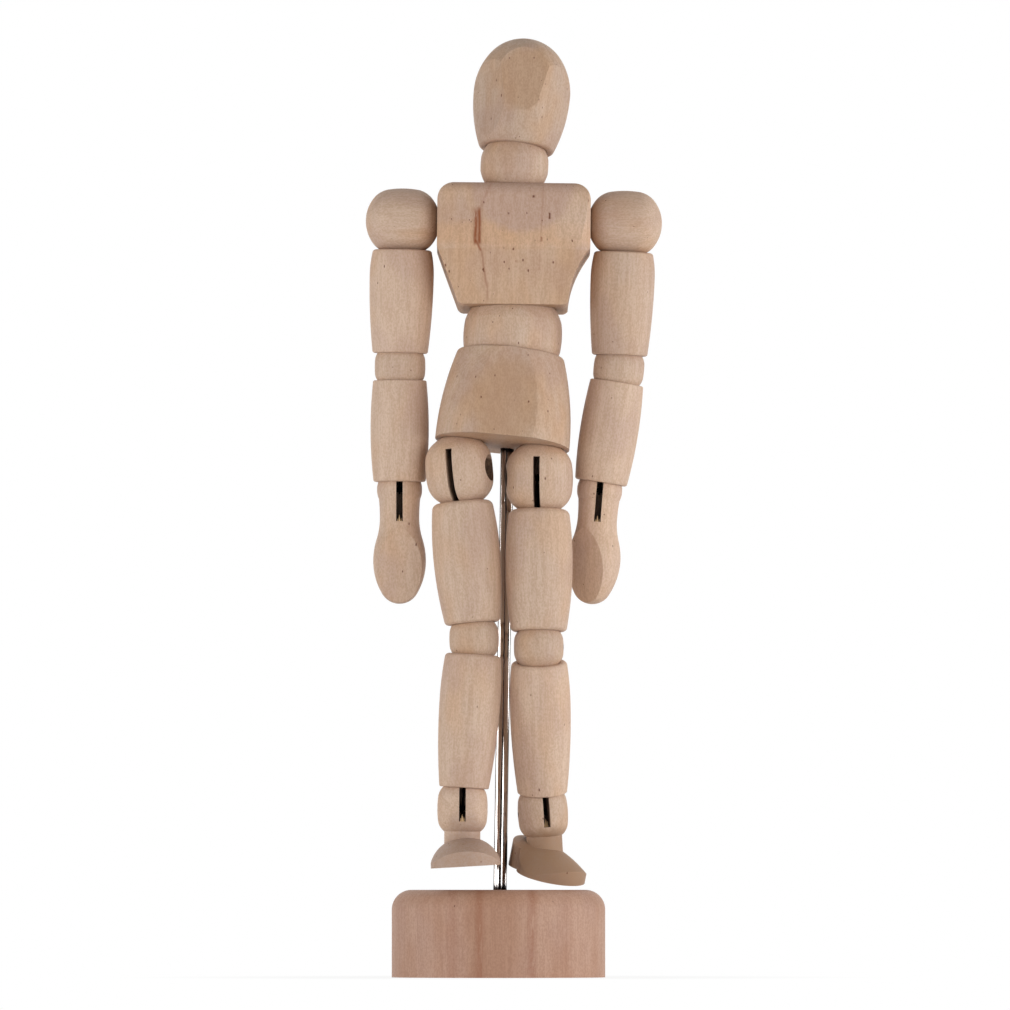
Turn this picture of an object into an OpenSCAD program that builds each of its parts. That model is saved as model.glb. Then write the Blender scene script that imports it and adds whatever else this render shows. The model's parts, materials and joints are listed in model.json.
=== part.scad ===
// Wooden artist's figure: turned limbs drawn by springs over slotted balls and beads,
// carried on a steel rod above a round base. Millimetres, +Z up.
// The origin is the middle of the underside of the base, and the figure faces -Y.
// Left and right are the figure's own, so its right side lies at -X.

/* [Stand] */
// Diameter of the round base
base_d = 68.8; // [50:0.1:120]
// Height of the base
base_h = 28.2; // [15:0.1:50]
// Radius of the rounded top edge of the base
base_edge_r = 6.4; // [1:0.1:12]
// Diameter of the steel rod
rod_d = 4.4; // [3:0.1:7]
// Depth of the rod in the base
rod_set = 22; // [8:0.5:26]
// Length of the rod inside the pelvis
rod_grip = 15; // [8:0.5:18]
// Sideways lean of the rod, in degrees
rod_lean = 0.95; // [0:0.05:3]
// Distance along the rod from the floor to the underside of the pelvis
stand_height = 170.3; // [168:0.1:230]

/* [Balls and beads] */
// Radius of the waist bead's seating sphere
waist_r = 16.2; // [14:0.1:18]
// Radius of the waist bead at its waistband
waist_band = 15.9; // [13:0.05:18]
// Radius of the neck bead's seating sphere
neck_r = 11.1; // [9:0.1:12]
// Radius of the neck bead at its middle
neck_band = 10.95; // [8:0.05:12]
// Radius of the shoulder balls' seating sphere
shoulder_r = 12; // [10:0.1:13]
// Radius of the shoulder balls at the middle
shoulder_band = 10.6; // [8:0.05:13]
// Radius of the elbow beads' seating sphere
elbow_r = 8.6; // [7:0.1:9]
// Radius of the elbow beads at the middle
elbow_band = 8.25; // [6:0.05:9]
// Radius of the ball at the top of each hand
wrist_r = 7.3; // [6:0.1:7.7]
// Radius of the hip balls' seating sphere
hip_r = 12; // [11:0.1:13]
// Radius of the hip balls at the middle
hip_band = 10.9; // [8:0.05:13]
// Radius of the knee beads' seating sphere
knee_r = 8.4; // [7:0.1:9]
// Radius of the knee beads at the middle
knee_band = 8; // [6:0.05:9]
// Radius of the ankle balls' seating sphere
ankle_r = 9.4; // [8:0.1:10]
// Radius of the ankle balls at the middle
ankle_band = 8.1; // [6:0.05:10]
// Radius of the lengthwise bow of every ball's middle
band_bow = 30; // [20:1:80]
// Radius that eases the middle of a shoulder or hip ball into its seating sphere
ball_ease_r = 8; // [5:0.1:8.5]
// The same radius on beads and ankle balls
bead_ease_r = 5.5; // [4:0.1:6.5]

/* [Pelvis] */
// Distance from the waist bead's centre down to the rim of the pelvis
pelvis_rim = 6; // [5:0.1:9]
// Height of the pelvis from rim to underside
pelvis_h = 29.5; // [24:0.1:36]
// Radius of the pelvis at its underside
pelvis_r = 21.7; // [21:0.1:26]
// Radius of the bell of the pelvis at its rim
pelvis_top_r = 17.1; // [16.5:0.1:20]
// Distance from the axis to the flats on the front and back, at the underside
pelvis_flat = 19.6; // [18.5:0.1:21]
// Inward lean of the flats, in degrees
pelvis_flat_lean = 5.6; // [0:0.1:6]
// Sideways distance from the pelvis axis to each hip ball
hip_half = 12.9; // [12.5:0.1:16]
// Depth of the hip balls' seats in the underside
hip_sink = 2; // [0.3:0.1:2.4]
// Sideways place of the rod hole in the underside
rod_seat_x = 1.75; // [-3:0.05:3]
// Distance of the rod hole behind the pelvis axis
rod_seat_y = 9.4; // [8:0.1:13]

/* [Chest] */
// Distance from the waist bead's centre up to the underside of the chest
chest_under = 8.7; // [7:0.1:11]
// Height of the chest
chest_h = 39.9; // [38:0.1:55]
// Height of the ridge across the chest above its underside
chest_ridge = 19.3; // [12:0.1:26]
// Width of the chest above the ridge
chest_w = 49.4; // [44:0.1:70]
// Width of the chest at its underside
chest_under_w = 34.8; // [32:0.1:44]
// Depth of the chest at the ridge
chest_d = 33; // [31:0.1:45]
// Depth of the chest at its top
chest_top_d = 27; // [24:0.1:40]
// Depth of the chest at its underside
chest_under_d = 31.2; // [30:0.1:40]
// Radius of the upright edges of the chest
chest_edge_r = 5; // [1:0.1:8]
// Radius of the top corners, seen from the front
chest_shoulder_r = 6; // [2:0.1:9]
// Radius of the front and back edges of the top
chest_brow_r = 5; // [2:0.1:8]
// Radius of the bottom corners, seen from the front
chest_foot_r = 2.5; // [0.5:0.1:4]
// Depth of the hollow dressed into the left flank
flank_hollow = 1.5; // [0.2:0.1:2.5]
// Distance of the shoulder balls below the top of the chest
shoulder_drop = 11.8; // [11.8:0.1:18]
// Depth of the shoulder balls' seats in the sides
shoulder_sink = 0.9; // [0.4:0.1:2]
// Distance from the top of the chest up to the neck bead's centre
neck_rise = 6.7; // [5:0.1:8]

/* [Head] */
// Distance from the neck bead's centre up to the rim of the head
head_rim = 5.2; // [3:0.1:6]
// Height of the head from rim to crown
head_h = 37; // [34:0.1:45]
// Height of the widest part of the head above the rim
head_belly = 18.7; // [14:0.1:22]
// Radius of the widest part of the head
head_r = 15.6; // [14.5:0.1:17]
// Radius of the head just above its rounded rim
head_rim_r = 11.9; // [11.6:0.1:14]
// Radius of the crown
crown_r = 14.3; // [12:0.1:14.4]
// Distance from the axis to the brow's flat
brow_flat = 13.1; // [12:0.1:15]
// Backward tilt of the brow's flat, in degrees
brow_tilt = 9; // [0:0.5:20]
// Distance from the axis to the two cheek flats
cheek_flat = 13.5; // [12:0.1:15]
// Forward tilt of the cheek flats, in degrees
cheek_tilt = 3; // [0:0.5:8]
// Angle of the cheek flats to either side of the front, in degrees
cheek_angle = 50; // [48:1:70]

/* [Arms] */
// Length of the upper arm between ball centres
upper_arm_len = 47; // [40:0.1:60]
// Largest radius of the upper arm
upper_arm_r = 10.35; // [9.6:0.05:12]
// Distance of the upper arm's belly below the shoulder
upper_arm_belly = 17.5; // [13:0.1:24]
// Radius of the upper arm just below its top rim
upper_arm_top_r = 9.4; // [8.8:0.05:9.6]
// Radius of the upper arm just above its bottom rim
upper_arm_end_r = 8.9; // [8.4:0.05:9.5]
// Distance from the shoulder ball's centre to the rim of the upper arm
shoulder_rim = 9.3; // [8.5:0.1:10.5]
// Distance from the elbow bead's centre to the rims that seat on it
elbow_rim = 4.4; // [3.8:0.1:5.5]
// Length of the forearm between joint centres
forearm_len = 39.6; // [34:0.1:50]
// Largest radius of the forearm
forearm_r = 9.4; // [8.9:0.05:11]
// Distance of the forearm's belly below the elbow
forearm_belly = 20; // [14:0.1:26]
// Radius of the forearm just below its top rim
forearm_top_r = 8.6; // [8.3:0.05:8.8]
// Radius of the forearm just above its bottom rim
forearm_end_r = 8.4; // [7.9:0.05:8.8]
// Distance from the wrist ball's centre up to the rim of the forearm
wrist_rim = 2.5; // [2:0.1:4]
// Length of the hand below the wrist's centre
hand_len = 36.8; // [32:0.1:46]
// Largest half width of the hand
hand_r = 8.5; // [7.5:0.05:10]
// Distance of the widest part of the hand below the wrist
hand_belly = 23; // [20:0.1:26]
// Half width of the neck of the hand
hand_neck_r = 6.35; // [5.5:0.05:6.8]
// Distance of the neck of the hand below the wrist
hand_neck = 9; // [7:0.1:11]
// Radius of the finger tips, seen from the front
hand_tip_r = 6.5; // [5:0.1:7]
// Thickness of the hand at its widest part
hand_d = 9.4; // [7:0.1:12]
// Thickness of the hand at the tip
hand_tip_d = 4.4; // [3:0.1:7]
// Depth of the hand's saw cut below the wrist's centre
hand_slot = 10.3; // [4:0.1:14]

/* [Legs] */
// Length of the thigh between ball centres
thigh_len = 54.4; // [48:0.1:70]
// Largest radius of the thigh
thigh_r = 10.85; // [10:0.05:11.4]
// Distance of the thigh's belly below the hip
thigh_belly = 27; // [20:0.1:34]
// Radius of the thigh just below its top rim
thigh_top_r = 9.6; // [8.2:0.05:9.9]
// Radius of the thigh just above its bottom rim
thigh_end_r = 8.9; // [8.2:0.05:9.9]
// Distance from the hip ball's centre to the rim of the thigh
hip_rim = 10.1; // [9.4:0.1:11]
// Distance from the knee bead's centre to the rims that seat on it
knee_rim = 5; // [4.2:0.1:6]
// Length of the shin between ball centres
shin_len = 54.7; // [48:0.1:55.5]
// Largest radius of the shin
shin_r = 9.8; // [9.2:0.05:11]
// Distance of the shin's belly below the knee
shin_belly = 19; // [14:0.1:30]
// Radius of the shin just below its top rim
shin_top_r = 8.9; // [8.2:0.05:9.1]
// Radius of the shin just above its bottom rim
shin_end_r = 7.95; // [7.6:0.05:9]
// Distance from the ankle ball's centre up to the rim of the shin
ankle_rim = 6.7; // [6:0.1:8]
// Radius of the neck between ankle ball and foot
foot_neck_r = 5.8; // [4.5:0.1:7]
// Distance from the ankle's centre down to the sole
foot_drop = 18.7; // [16:0.1:19]
// Height of the instep above the sole
foot_top = 9.6; // [8:0.1:12]
// Radius of the rounded top of the foot, seen along it
foot_bow = 12.5; // [12:0.1:20]
// Radius of the arc in which the instep falls to the toe
instep_r = 48; // [36:1:80]
// Radius of the heel's outline
heel_r = 7.4; // [7:0.1:9]
// Distance of the heel's centre behind the ankle
heel_back = 0.6; // [0:0.1:3]
// Radius of the toe's outline
toe_r = 11.2; // [10.2:0.1:12]
// Distance of the toe's centre in front of the ankle
toe_front = 9.2; // [7:0.1:12]
// Depth of the ankle's saw cut below its centre
ankle_slot = 4.2; // [2:0.1:6]

/* [Pins and springs] */
// Diameter of the steel cross pins
pin_d = 1.6; // [1:0.1:2]
// Depth of each pin's end below the ball's surface
pin_recess = 1.4; // [0.5:0.1:3]
// Diameter of the counterbore on the inner side of the hip balls
hip_counterbore_d = 8.6; // [4:0.1:10]
// Depth of that counterbore
hip_counterbore_h = 4.8; // [1:0.1:5]
// Width of the saw cuts in hips, shoulders, hands and ankles
slot_w = 2.1; // [2:0.1:3]
// Width of the saw cuts in elbow and knee beads
bead_slot_w = 3.4; // [2.4:0.1:4]
// Diameter of the spring wire
wire_d = 0.7; // [0.5:0.05:0.75]
// Outside diameter of the spring coils
spring_d = 4.6; // [3.6:0.1:5.4]
// Number of turns in each spring
spring_turns = 4; // [3:1:5]

/* [Fits] */
// Gap between a ball and the cup that seats on it
seat_gap = 0.25; // [0.15:0.05:0.4]
// Flat left on a rim between its cup and its rounded edge
rim_land = 0.4; // [0.2:0.05:0.5]
// Gap round a pin in its hole
pin_gap = 0.05; // [0.02:0.01:0.1]
// Gap between a spring's hook and its pin
hook_gap = 0.15; // [0.08:0.01:0.2]
// Gap round a spring in its bore
bore_gap = 0.5; // [0.3:0.05:0.8]
// Extra radius of the bores in waist and neck beads, where the springs bend
bend_gap = 2.2; // [1.8:0.1:3]
// Gap round the rod in the base and pelvis
rod_gap = 0.06; // [0.02:0.01:0.1]

/* [Pose] */
// Pelvis: tip forward or back, tip sideways and turn, in degrees
pelvis_turn = [-7.5, 5.5, 0]; // [-30:0.1:30]
// Chest, in the same order
chest_turn = [-4, 0.6, 0]; // [-30:0.1:30]
// Head, in the same order
head_turn = [-13, 5.9, 0]; // [-40:0.1:40]
// Sideways lean of the right upper arm
right_upper_arm_lean = 1.2; // [-3:0.1:60]
// Sideways lean of the right forearm
right_forearm_lean = 0.1; // [-8:0.1:60]
// Sideways lean of the right hand
right_hand_lean = 0; // [-20:0.1:20]
// Sideways lean of the left upper arm
left_upper_arm_lean = 2.3; // [-60:0.1:3]
// Sideways lean of the left forearm
left_forearm_lean = 9.1; // [-50:0.1:12]
// Sideways lean of the left hand
left_hand_lean = 4.5; // [-20:0.1:12]
// Turn of the right palm from its saw cut
right_palm_turn = 0; // [-60:1:60]
// Turn of the left palm from its saw cut
left_palm_turn = -38; // [-60:1:60]
// Right thigh: swing, lean and turn, in degrees
right_thigh_turn = [-1, -5.6, -17]; // [-60:0.1:60]
// Right shin, in the same order
right_shin_turn = [2.8, 2.8, 45]; // [-60:0.1:60]
// Right ankle ball and its saw cut, in the same order
right_ankle_turn = [0, 0.5, 0]; // [-60:0.1:60]
// Right foot under its ankle ball, in the same order
right_foot_turn = [0, -3.3, 0]; // [-60:0.1:60]
// Left thigh, in the same order
left_thigh_turn = [-4, -0.2, -5]; // [-60:0.1:60]
// Left shin, in the same order
left_shin_turn = [13, -0.3, -5]; // [-60:0.1:60]
// Left ankle ball and its saw cut, in the same order
left_ankle_turn = [4, -3.8, 9]; // [-60:0.1:60]
// Left foot under its ankle ball, in the same order
left_foot_turn = [16, 0, 42]; // [-60:0.1:60]

/* [Hidden] */
$fn = 72;
// Large arcs are drawn with this many steps to the full circle
arc_fn = 720;
// Overrun that lets a cut pass clear of the face it opens
over = 1;
// Margin that keeps faces of outlines that cut each other from touching without crossing
trace = 0.02;
wood = [0.79, 0.67, 0.56];
base_wood = [0.72, 0.52, 0.42];
steel = [0.75, 0.76, 0.78];

RIGHT = 0;
LEFT = 1;
SIDE = [-1, 1];
UP = [0, 0, 1];
ALONG_X = [1, 0, 0];
ALONG_Y = [0, 1, 0];

// Turning points in the same order as the pose values: about X, then Y, then Z
function about_x(v, a) = [v.x, v.y * cos(a) - v.z * sin(a), v.y * sin(a) + v.z * cos(a)];
function about_y(v, a) = [v.x * cos(a) + v.z * sin(a), v.y, v.z * cos(a) - v.x * sin(a)];
function about_z(v, a) = [v.x * cos(a) - v.y * sin(a), v.x * sin(a) + v.y * cos(a), v.z];
function turned(v, t) = about_z(about_y(about_x(v, t.x), t.y), t.z);
function below(p, t, d) = p + turned([0, 0, -d], t);
function bearing(a) = [cos(a), sin(a)];
// The pose that lays a piece's length along a direction, at a given turn about Z
function laid(d, turn) =
    let (v = about_z(d / norm(d), -turn))
    [asin(v.y), atan2(-v.x, -v.z), turn];

// Fits between balls, cups, pins and springs
function cup(ball_r) = ball_r + seat_gap;
function mouth(ball_r, rim) = sqrt(cup(ball_r) ^ 2 - rim ^ 2);
function arc_radius(drop, run) = (drop ^ 2 + run ^ 2) / (2 * drop);
wire_r = wire_d / 2;
pin_r = pin_d / 2;
coil_r = spring_d / 2 - wire_r;
spring_bore_r = spring_d / 2 + bore_gap;
hook_r = pin_r + wire_r + hook_gap;
hook_room = hook_r + wire_r + bore_gap;
hook_step = wire_r + hook_gap;

// Places of the joints, from the rod upwards and then down each limb
rod_turn = [0, rod_lean, 0];
rod_r = rod_d / 2;
base_r = base_d / 2;
pelvis_drop = pelvis_rim + pelvis_h;
hip_drop = pelvis_drop + hip_r - hip_sink;
pelvis_pin_drop = cup(waist_r) + hook_room;
rod_entry = turned([0, 0, stand_height], rod_turn);
waist_at = rod_entry - turned([rod_seat_x, rod_seat_y, -pelvis_drop], pelvis_turn);
chest_top = chest_under + chest_h;
chest_ridge_at = chest_under + chest_ridge;
shoulder_h = chest_top - shoulder_drop;
shoulder_half = chest_w / 2 + shoulder_r - shoulder_sink;
neck_h = chest_top + neck_rise;
neck_at = waist_at + turned([0, 0, neck_h], chest_turn);
chest_waist_pin_h = shoulder_h - spring_bore_r - hook_room - over;
chest_neck_pin_h = neck_h - cup(neck_r) - hook_room;
head_pin_h = head_rim + head_belly + hook_room;
upper_arm_turn = [[0, right_upper_arm_lean, 0], [0, left_upper_arm_lean, 0]];
forearm_turn = [[0, right_forearm_lean, 0], [0, left_forearm_lean, 0]];
hand_turn = [[0, right_hand_lean, 0], [0, left_hand_lean, 0]];
palm_turn = [right_palm_turn, left_palm_turn];
thigh_turn = [right_thigh_turn, left_thigh_turn];
shin_turn = [right_shin_turn, left_shin_turn];
ankle_turn = [right_ankle_turn, left_ankle_turn];
foot_turn = [right_foot_turn, left_foot_turn];
shoulder_at = [for (s = SIDE) waist_at + turned([s * shoulder_half, 0, shoulder_h], chest_turn)];
elbow_at = [for (k = [RIGHT, LEFT]) below(shoulder_at[k], upper_arm_turn[k], upper_arm_len)];
wrist_at = [for (k = [RIGHT, LEFT]) below(elbow_at[k], forearm_turn[k], forearm_len)];
hip_at = [for (s = SIDE) waist_at + turned([s * hip_half, 0, -hip_drop], pelvis_turn)];
knee_at = [for (k = [RIGHT, LEFT]) below(hip_at[k], thigh_turn[k], thigh_len)];
ankle_at = [for (k = [RIGHT, LEFT]) below(knee_at[k], shin_turn[k], shin_len)];
// A shoulder ball keeps its saw cut in line with an arm that hangs down
shoulder_turn = [0, chest_turn.y, chest_turn.z];
// A hip ball follows its thigh's lean and turn, and the thigh swings about the ball's pin
hip_turn = [for (t = thigh_turn) [0, t.y, t.z]];
// A bead between two pieces sits halfway between their turns
waist_turn = (pelvis_turn + chest_turn) / 2;
neck_turn = (chest_turn + head_turn) / 2;
elbow_turn = (upper_arm_turn + forearm_turn) / 2;
// A knee bead also turns with its shin, which swings about the bead's pin
knee_turn = [
    for (k = [RIGHT, LEFT])
        laid((knee_at[k] - hip_at[k]) / thigh_len + (ankle_at[k] - knee_at[k]) / shin_len, shin_turn[k].z)
];

module place(p, t) {
    translate(p) rotate(t) children();
}

// Turned profiles

// The waste outside a rounded corner: the arc's centre, its radius and the directions its faces look in.
// The arc stands a trace proud of both faces, so that it crosses them and leaves no sliver.
module corner_waste(centre, r, one, other) {
    difference() {
        polygon([centre, centre + 2 * r * one, centre + 2 * r * (one + other), centre + 2 * r * other]);
        translate(centre) circle(r + trace);
    }
}

// One half of a turned belly, from its widest plane, or some way past it, up to a rounded rim
module belly_half(run, r_max, r_end, mouth_r, past = 0) {
    rho = arc_radius(r_max - r_end, run);
    edge = r_end - mouth_r - rim_land;
    middle = [r_max - rho, 0];
    centre = [middle.x + sqrt((rho - edge) ^ 2 - (run - edge) ^ 2), run - edge];
    outward = (centre - middle) / norm(centre - middle);
    difference() {
        intersection() {
            translate(middle) circle(rho, $fn = arc_fn);
            translate([0, -past]) square([r_max + over, run + past]);
        }
        corner_waste(centre, edge, [0, 1], outward);
    }
}

// A limb turned between two balls, with a cup at each end and a spring bore through it. The top and
// bottom hold a ball's radius, its distance from the rim and the radius by the rim.
module limb(len, top, bottom, belly, belly_r) {
    difference() {
        translate([0, 0, -belly])
            rotate_extrude() {
                belly_half(belly - top[1], belly_r, top[2], mouth(top[0], top[1]));
                mirror([0, 1])
                    belly_half(len - bottom[1] - belly, belly_r, bottom[2], mouth(bottom[0], bottom[1]));
            }
        sphere(cup(top[0]));
        translate([0, 0, -len]) sphere(cup(bottom[0]));
        translate([0, 0, -len]) cylinder(r = spring_bore_r, h = len);
    }
}

// A ball turned about Z: a gently bowed band round its middle, eased into the sphere at both ends
module ball(r, band, ease) {
    back = band_bow - min(band, r - trace);
    x = ((band_bow - ease) ^ 2 - (r - ease) ^ 2 - back ^ 2) / (2 * back);
    centre = [x, sqrt((r - ease) ^ 2 - x ^ 2)];
    from_band = (centre + [back, 0]) / (band_bow - ease);
    from_ball = centre / (r - ease);
    rotate_extrude()
        difference() {
            intersection() {
                circle(r, $fn = arc_fn);
                translate([-back, 0]) circle(band_bow, $fn = arc_fn);
                translate([0, -r]) square([r, 2 * r]);
            }
            corner_waste(centre, ease, from_band, from_ball);
            mirror([0, 1]) corner_waste(centre, ease, from_band, from_ball);
        }
}

// A pin hole along one direction, from one depth to another
module pin_hole(direction, from, to) {
    rotate(direction == ALONG_X ? [0, 90, 0] : [-90, 0, 0])
        translate([0, 0, from])
            cylinder(r = pin_r + pin_gap, h = to - from, $fn = 32);
}

module pin(direction, from, to) {
    color(steel)
        rotate(direction == ALONG_X ? [0, 90, 0] : [-90, 0, 0])
            translate([0, 0, from])
                cylinder(r = pin_r, h = to - from, $fn = 32);
}

// Springs

// A hook round a pin at height z: it starts beside the leg, passes over the pin and joins the leg
function hook(z, lift, across, shift) = [
    for (a = [-60:30:180])
        [0, 0, z] + shift * cross(across, UP) + hook_r * (cos(a) * across + lift * sin(a) * UP)
];
function reversed(list) = [for (i = [len(list) - 1:-1:0]) list[i]];

// The turns of a spring between two heights, from one leg's direction to the other's
function coil(z_top, z_bottom, from, to) =
    let (first = atan2(-from.y, -from.x), last = atan2(-to.y, -to.x) + 360 * spring_turns)
    let (steps = 8 * spring_turns)
    [
        for (i = [0:steps])
            let (a = first + (last - first) * i / steps)
            [coil_r * cos(a), coil_r * sin(a), z_top + (z_bottom - z_top) * i / steps]
    ];

// The wire's course from the upper pin to the lower one: the heights of pins and coil, the directions
// its hooks lie across the pins, and the shift of each hook along its pin
function spring_path(pins, coil_ends, across, shift = [0, 0]) = concat(
    hook(pins[0], 1, across[0], shift[0]),
    coil(coil_ends[0], coil_ends[1], across[0], across[1]),
    reversed(hook(pins[1], -1, across[1], shift[1]))
);
function tangent(path, i) =
    let (d = path[min(i + 1, len(path) - 1)] - path[max(i - 1, 0)])
    d / norm(d);
function squared(v, t) =
    let (n = v - (v * t) * t)
    n / norm(n);
// Normals carried along the path with as little twist as it allows
function normals(path, i, last) =
    i == len(path) ? [] :
    let (n = squared(last, tangent(path, i)))
    concat([n], normals(path, i + 1, n));

// A round wire of six sides along a path
module wire(path) {
    sides = 6;
    rings = len(path);
    normal = normals(path, 0, cross(tangent(path, 0), [0.3, 0.5, 0.8]));
    points = [
        for (i = [0:rings - 1], k = [0:sides - 1])
            let (a = 360 * k / sides, n = normal[i], b = cross(tangent(path, i), n))
            path[i] + wire_r * (cos(a) * n + sin(a) * b)
    ];
    walls = [
        for (i = [0:rings - 2], k = [0:sides - 1])
            let (p = i * sides + k, q = i * sides + (k + 1) % sides)
            each [[p, p + sides, q], [q, p + sides, q + sides]]
    ];
    last = (rings - 1) * sides;
    caps = [for (k = [1:sides - 2]) each [[0, k, k + 1], [last, last + k + 1, last + k]]];
    color(steel) polyhedron(points, concat(walls, caps));
}

// A spring in a limb, hooked on the pins of the balls at both ends
module limb_spring(len, top_r, bottom_r, across, shift) {
    wire(spring_path([0, -len], [-cup(top_r) - over, over + cup(bottom_r) - len], across, shift));
}

// A spring that bends at a given height: its lower part follows one piece, its upper part another
module bent_spring(path, bend, lower_turn, upper_turn) {
    wire([for (p = path) turned(p, p.z < bend ? lower_turn : upper_turn)]);
}

// Stand

module base() {
    color(base_wood)
        difference() {
            rotate_extrude($fn = 144)
                difference() {
                    square([base_r, base_h]);
                    corner_waste([base_r - base_edge_r, base_h - base_edge_r], base_edge_r, [1, 0], [0, 1]);
                }
            rotate(rod_turn)
                translate([0, 0, base_h - rod_set])
                    cylinder(r = rod_r + rod_gap, h = rod_set + base_edge_r);
        }
}

module rod() {
    color(steel)
        rotate(rod_turn)
            translate([0, 0, base_h - rod_set + rod_gap])
                cylinder(r = rod_r, h = stand_height + rod_grip - base_h + rod_set - 2 * rod_gap);
}

// Torso

module pelvis() {
    bell = pelvis_drop - pelvis_rim;
    color(wood)
        difference() {
            place(waist_at, pelvis_turn)
                difference() {
                    translate([0, 0, -pelvis_drop])
                        rotate_extrude()
                            belly_half(bell, pelvis_r, pelvis_top_r, mouth(waist_r, pelvis_rim));
                    for (s = SIDE)
                        translate([0, s * pelvis_flat, -pelvis_drop])
                            rotate([s * pelvis_flat_lean, 0, 0])
                                translate([0, s * pelvis_r, 0])
                                    cube([4 * pelvis_r, 2 * pelvis_r, 3 * pelvis_drop], center = true);
                    sphere(cup(waist_r));
                    translate([0, 0, -pelvis_pin_drop - hook_room])
                        cylinder(r = spring_bore_r, h = pelvis_pin_drop);
                    for (s = SIDE) {
                        translate([s * hip_half, 0, -hip_drop]) sphere(cup(hip_r));
                        translate([s * hip_half, 0, -hip_drop])
                            cylinder(r = spring_bore_r, h = hip_drop - pelvis_pin_drop + hook_room);
                    }
                    translate([0, 0, -pelvis_pin_drop])
                        pin_hole(ALONG_X, -pelvis_r, pelvis_r);
                }
            rotate(rod_turn) cylinder(r = rod_r + rod_gap, h = stand_height + rod_grip);
        }
}

module pelvis_pin() {
    reach = hip_half + spring_bore_r + pin_recess;
    place(waist_at, pelvis_turn)
        translate([0, 0, -pelvis_pin_drop])
            pin(ALONG_X, -reach, reach);
}

module waist_bead() {
    color(wood)
        place(waist_at, waist_turn)
            difference() {
                ball(waist_r, waist_band, bead_ease_r);
                cylinder(r = spring_bore_r + bend_gap, h = 3 * waist_r, center = true);
            }
}

module waist_spring() {
    path = spring_path(
        [chest_waist_pin_h, -pelvis_pin_drop], [chest_waist_pin_h - hook_room, cup(waist_r) + over],
        [ALONG_Y, ALONG_Y]);
    translate(waist_at) bent_spring(path, 0, pelvis_turn, chest_turn);
}

// The chest's outline from the side: a ridge across the front and back, and rounded top edges
module chest_side() {
    under = chest_under_d / 2;
    ridge = chest_d / 2;
    top = chest_top_d / 2;
    head_z = chest_top + trace;
    foot_z = chest_under - trace;
    lean = atan2(ridge - top, head_z - chest_ridge_at);
    brow = [top - chest_brow_r / cos(lean) + chest_brow_r * tan(lean), head_z - chest_brow_r];
    difference() {
        polygon([
            [-under, foot_z], [-ridge, chest_ridge_at], [-top, head_z],
            [top, head_z], [ridge, chest_ridge_at], [under, foot_z]
        ]);
        for (s = SIDE)
            corner_waste([s * brow.x, brow.y], chest_brow_r, [0, 1], [s * cos(lean), sin(lean)]);
    }
}

// The chest's outline from the front: upright sides, rounded shoulders and flanks that draw in
module chest_front() {
    under = chest_under_w / 2;
    wide = chest_w / 2;
    lean = atan2(wide - under, chest_ridge);
    foot = [under - chest_foot_r / cos(lean) + chest_foot_r * tan(lean), chest_under + chest_foot_r];
    shoulder = [wide - chest_shoulder_r, chest_top - chest_shoulder_r];
    difference() {
        polygon([
            [-under, chest_under], [-wide, chest_ridge_at], [-wide, chest_top],
            [wide, chest_top], [wide, chest_ridge_at], [under, chest_under]
        ]);
        for (s = SIDE) {
            corner_waste([s * shoulder.x, shoulder.y], chest_shoulder_r, [0, 1], [s, 0]);
            corner_waste([s * foot.x, foot.y], chest_foot_r, [0, -1], [s * cos(lean), -sin(lean)]);
        }
    }
}

// The chest seen from above: a rectangle with rounded upright edges
module chest_plan() {
    corner = [chest_w / 2 + trace - chest_edge_r, chest_d / 2 + trace - chest_edge_r];
    difference() {
        square([chest_w + 2 * trace, chest_d + 2 * trace], center = true);
        for (x = SIDE, y = SIDE)
            corner_waste([x * corner.x, y * corner.y], chest_edge_r, [x, 0], [0, y]);
    }
}

module chest_block() {
    hollow_r = arc_radius(flank_hollow, chest_ridge / 2);
    flank = [(chest_w + chest_under_w) / 4, 0, chest_under + chest_ridge / 2];
    slope = atan2((chest_w - chest_under_w) / 2, chest_ridge);
    difference() {
        intersection() {
            rotate([90, 0, 0]) linear_extrude(2 * chest_d, center = true) chest_front();
            rotate([90, 0, 90]) linear_extrude(2 * chest_w, center = true) chest_side();
            linear_extrude(2 * chest_top) chest_plan();
        }
        translate(flank + (hollow_r - flank_hollow) * [cos(slope), 0, -sin(slope)])
            rotate([90, 0, 0])
                cylinder(r = hollow_r, h = 2 * chest_d, center = true, $fn = arc_fn);
    }
}

module chest() {
    color(wood)
        place(waist_at, chest_turn)
            difference() {
                chest_block();
                sphere(cup(waist_r));
                translate([0, 0, neck_h]) sphere(cup(neck_r));
                for (s = SIDE)
                    translate([s * shoulder_half, 0, shoulder_h]) sphere(cup(shoulder_r));
                translate([0, 0, shoulder_h])
                    rotate([0, 90, 0])
                        cylinder(r = spring_bore_r, h = 2 * shoulder_half, center = true);
                cylinder(r = spring_bore_r, h = chest_waist_pin_h + hook_room);
                translate([0, 0, chest_neck_pin_h - hook_room])
                    cylinder(r = spring_bore_r, h = neck_h - chest_neck_pin_h);
                for (h = [chest_waist_pin_h, chest_neck_pin_h])
                    translate([0, 0, h]) pin_hole(ALONG_X, -chest_w, 0);
                for (h = [chest_waist_pin_h, chest_neck_pin_h])
                    translate([0, 0, h]) pin_hole(ALONG_X, -over, 2 * spring_bore_r);
            }
}

module chest_pin(h) {
    place(waist_at, chest_turn)
        translate([0, 0, h])
            pin(ALONG_X, -2 * spring_bore_r, 2 * spring_bore_r - pin_gap);
}

module chest_waist_pin() {
    chest_pin(chest_waist_pin_h);
}

module chest_neck_pin() {
    chest_pin(chest_neck_pin_h);
}

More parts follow.
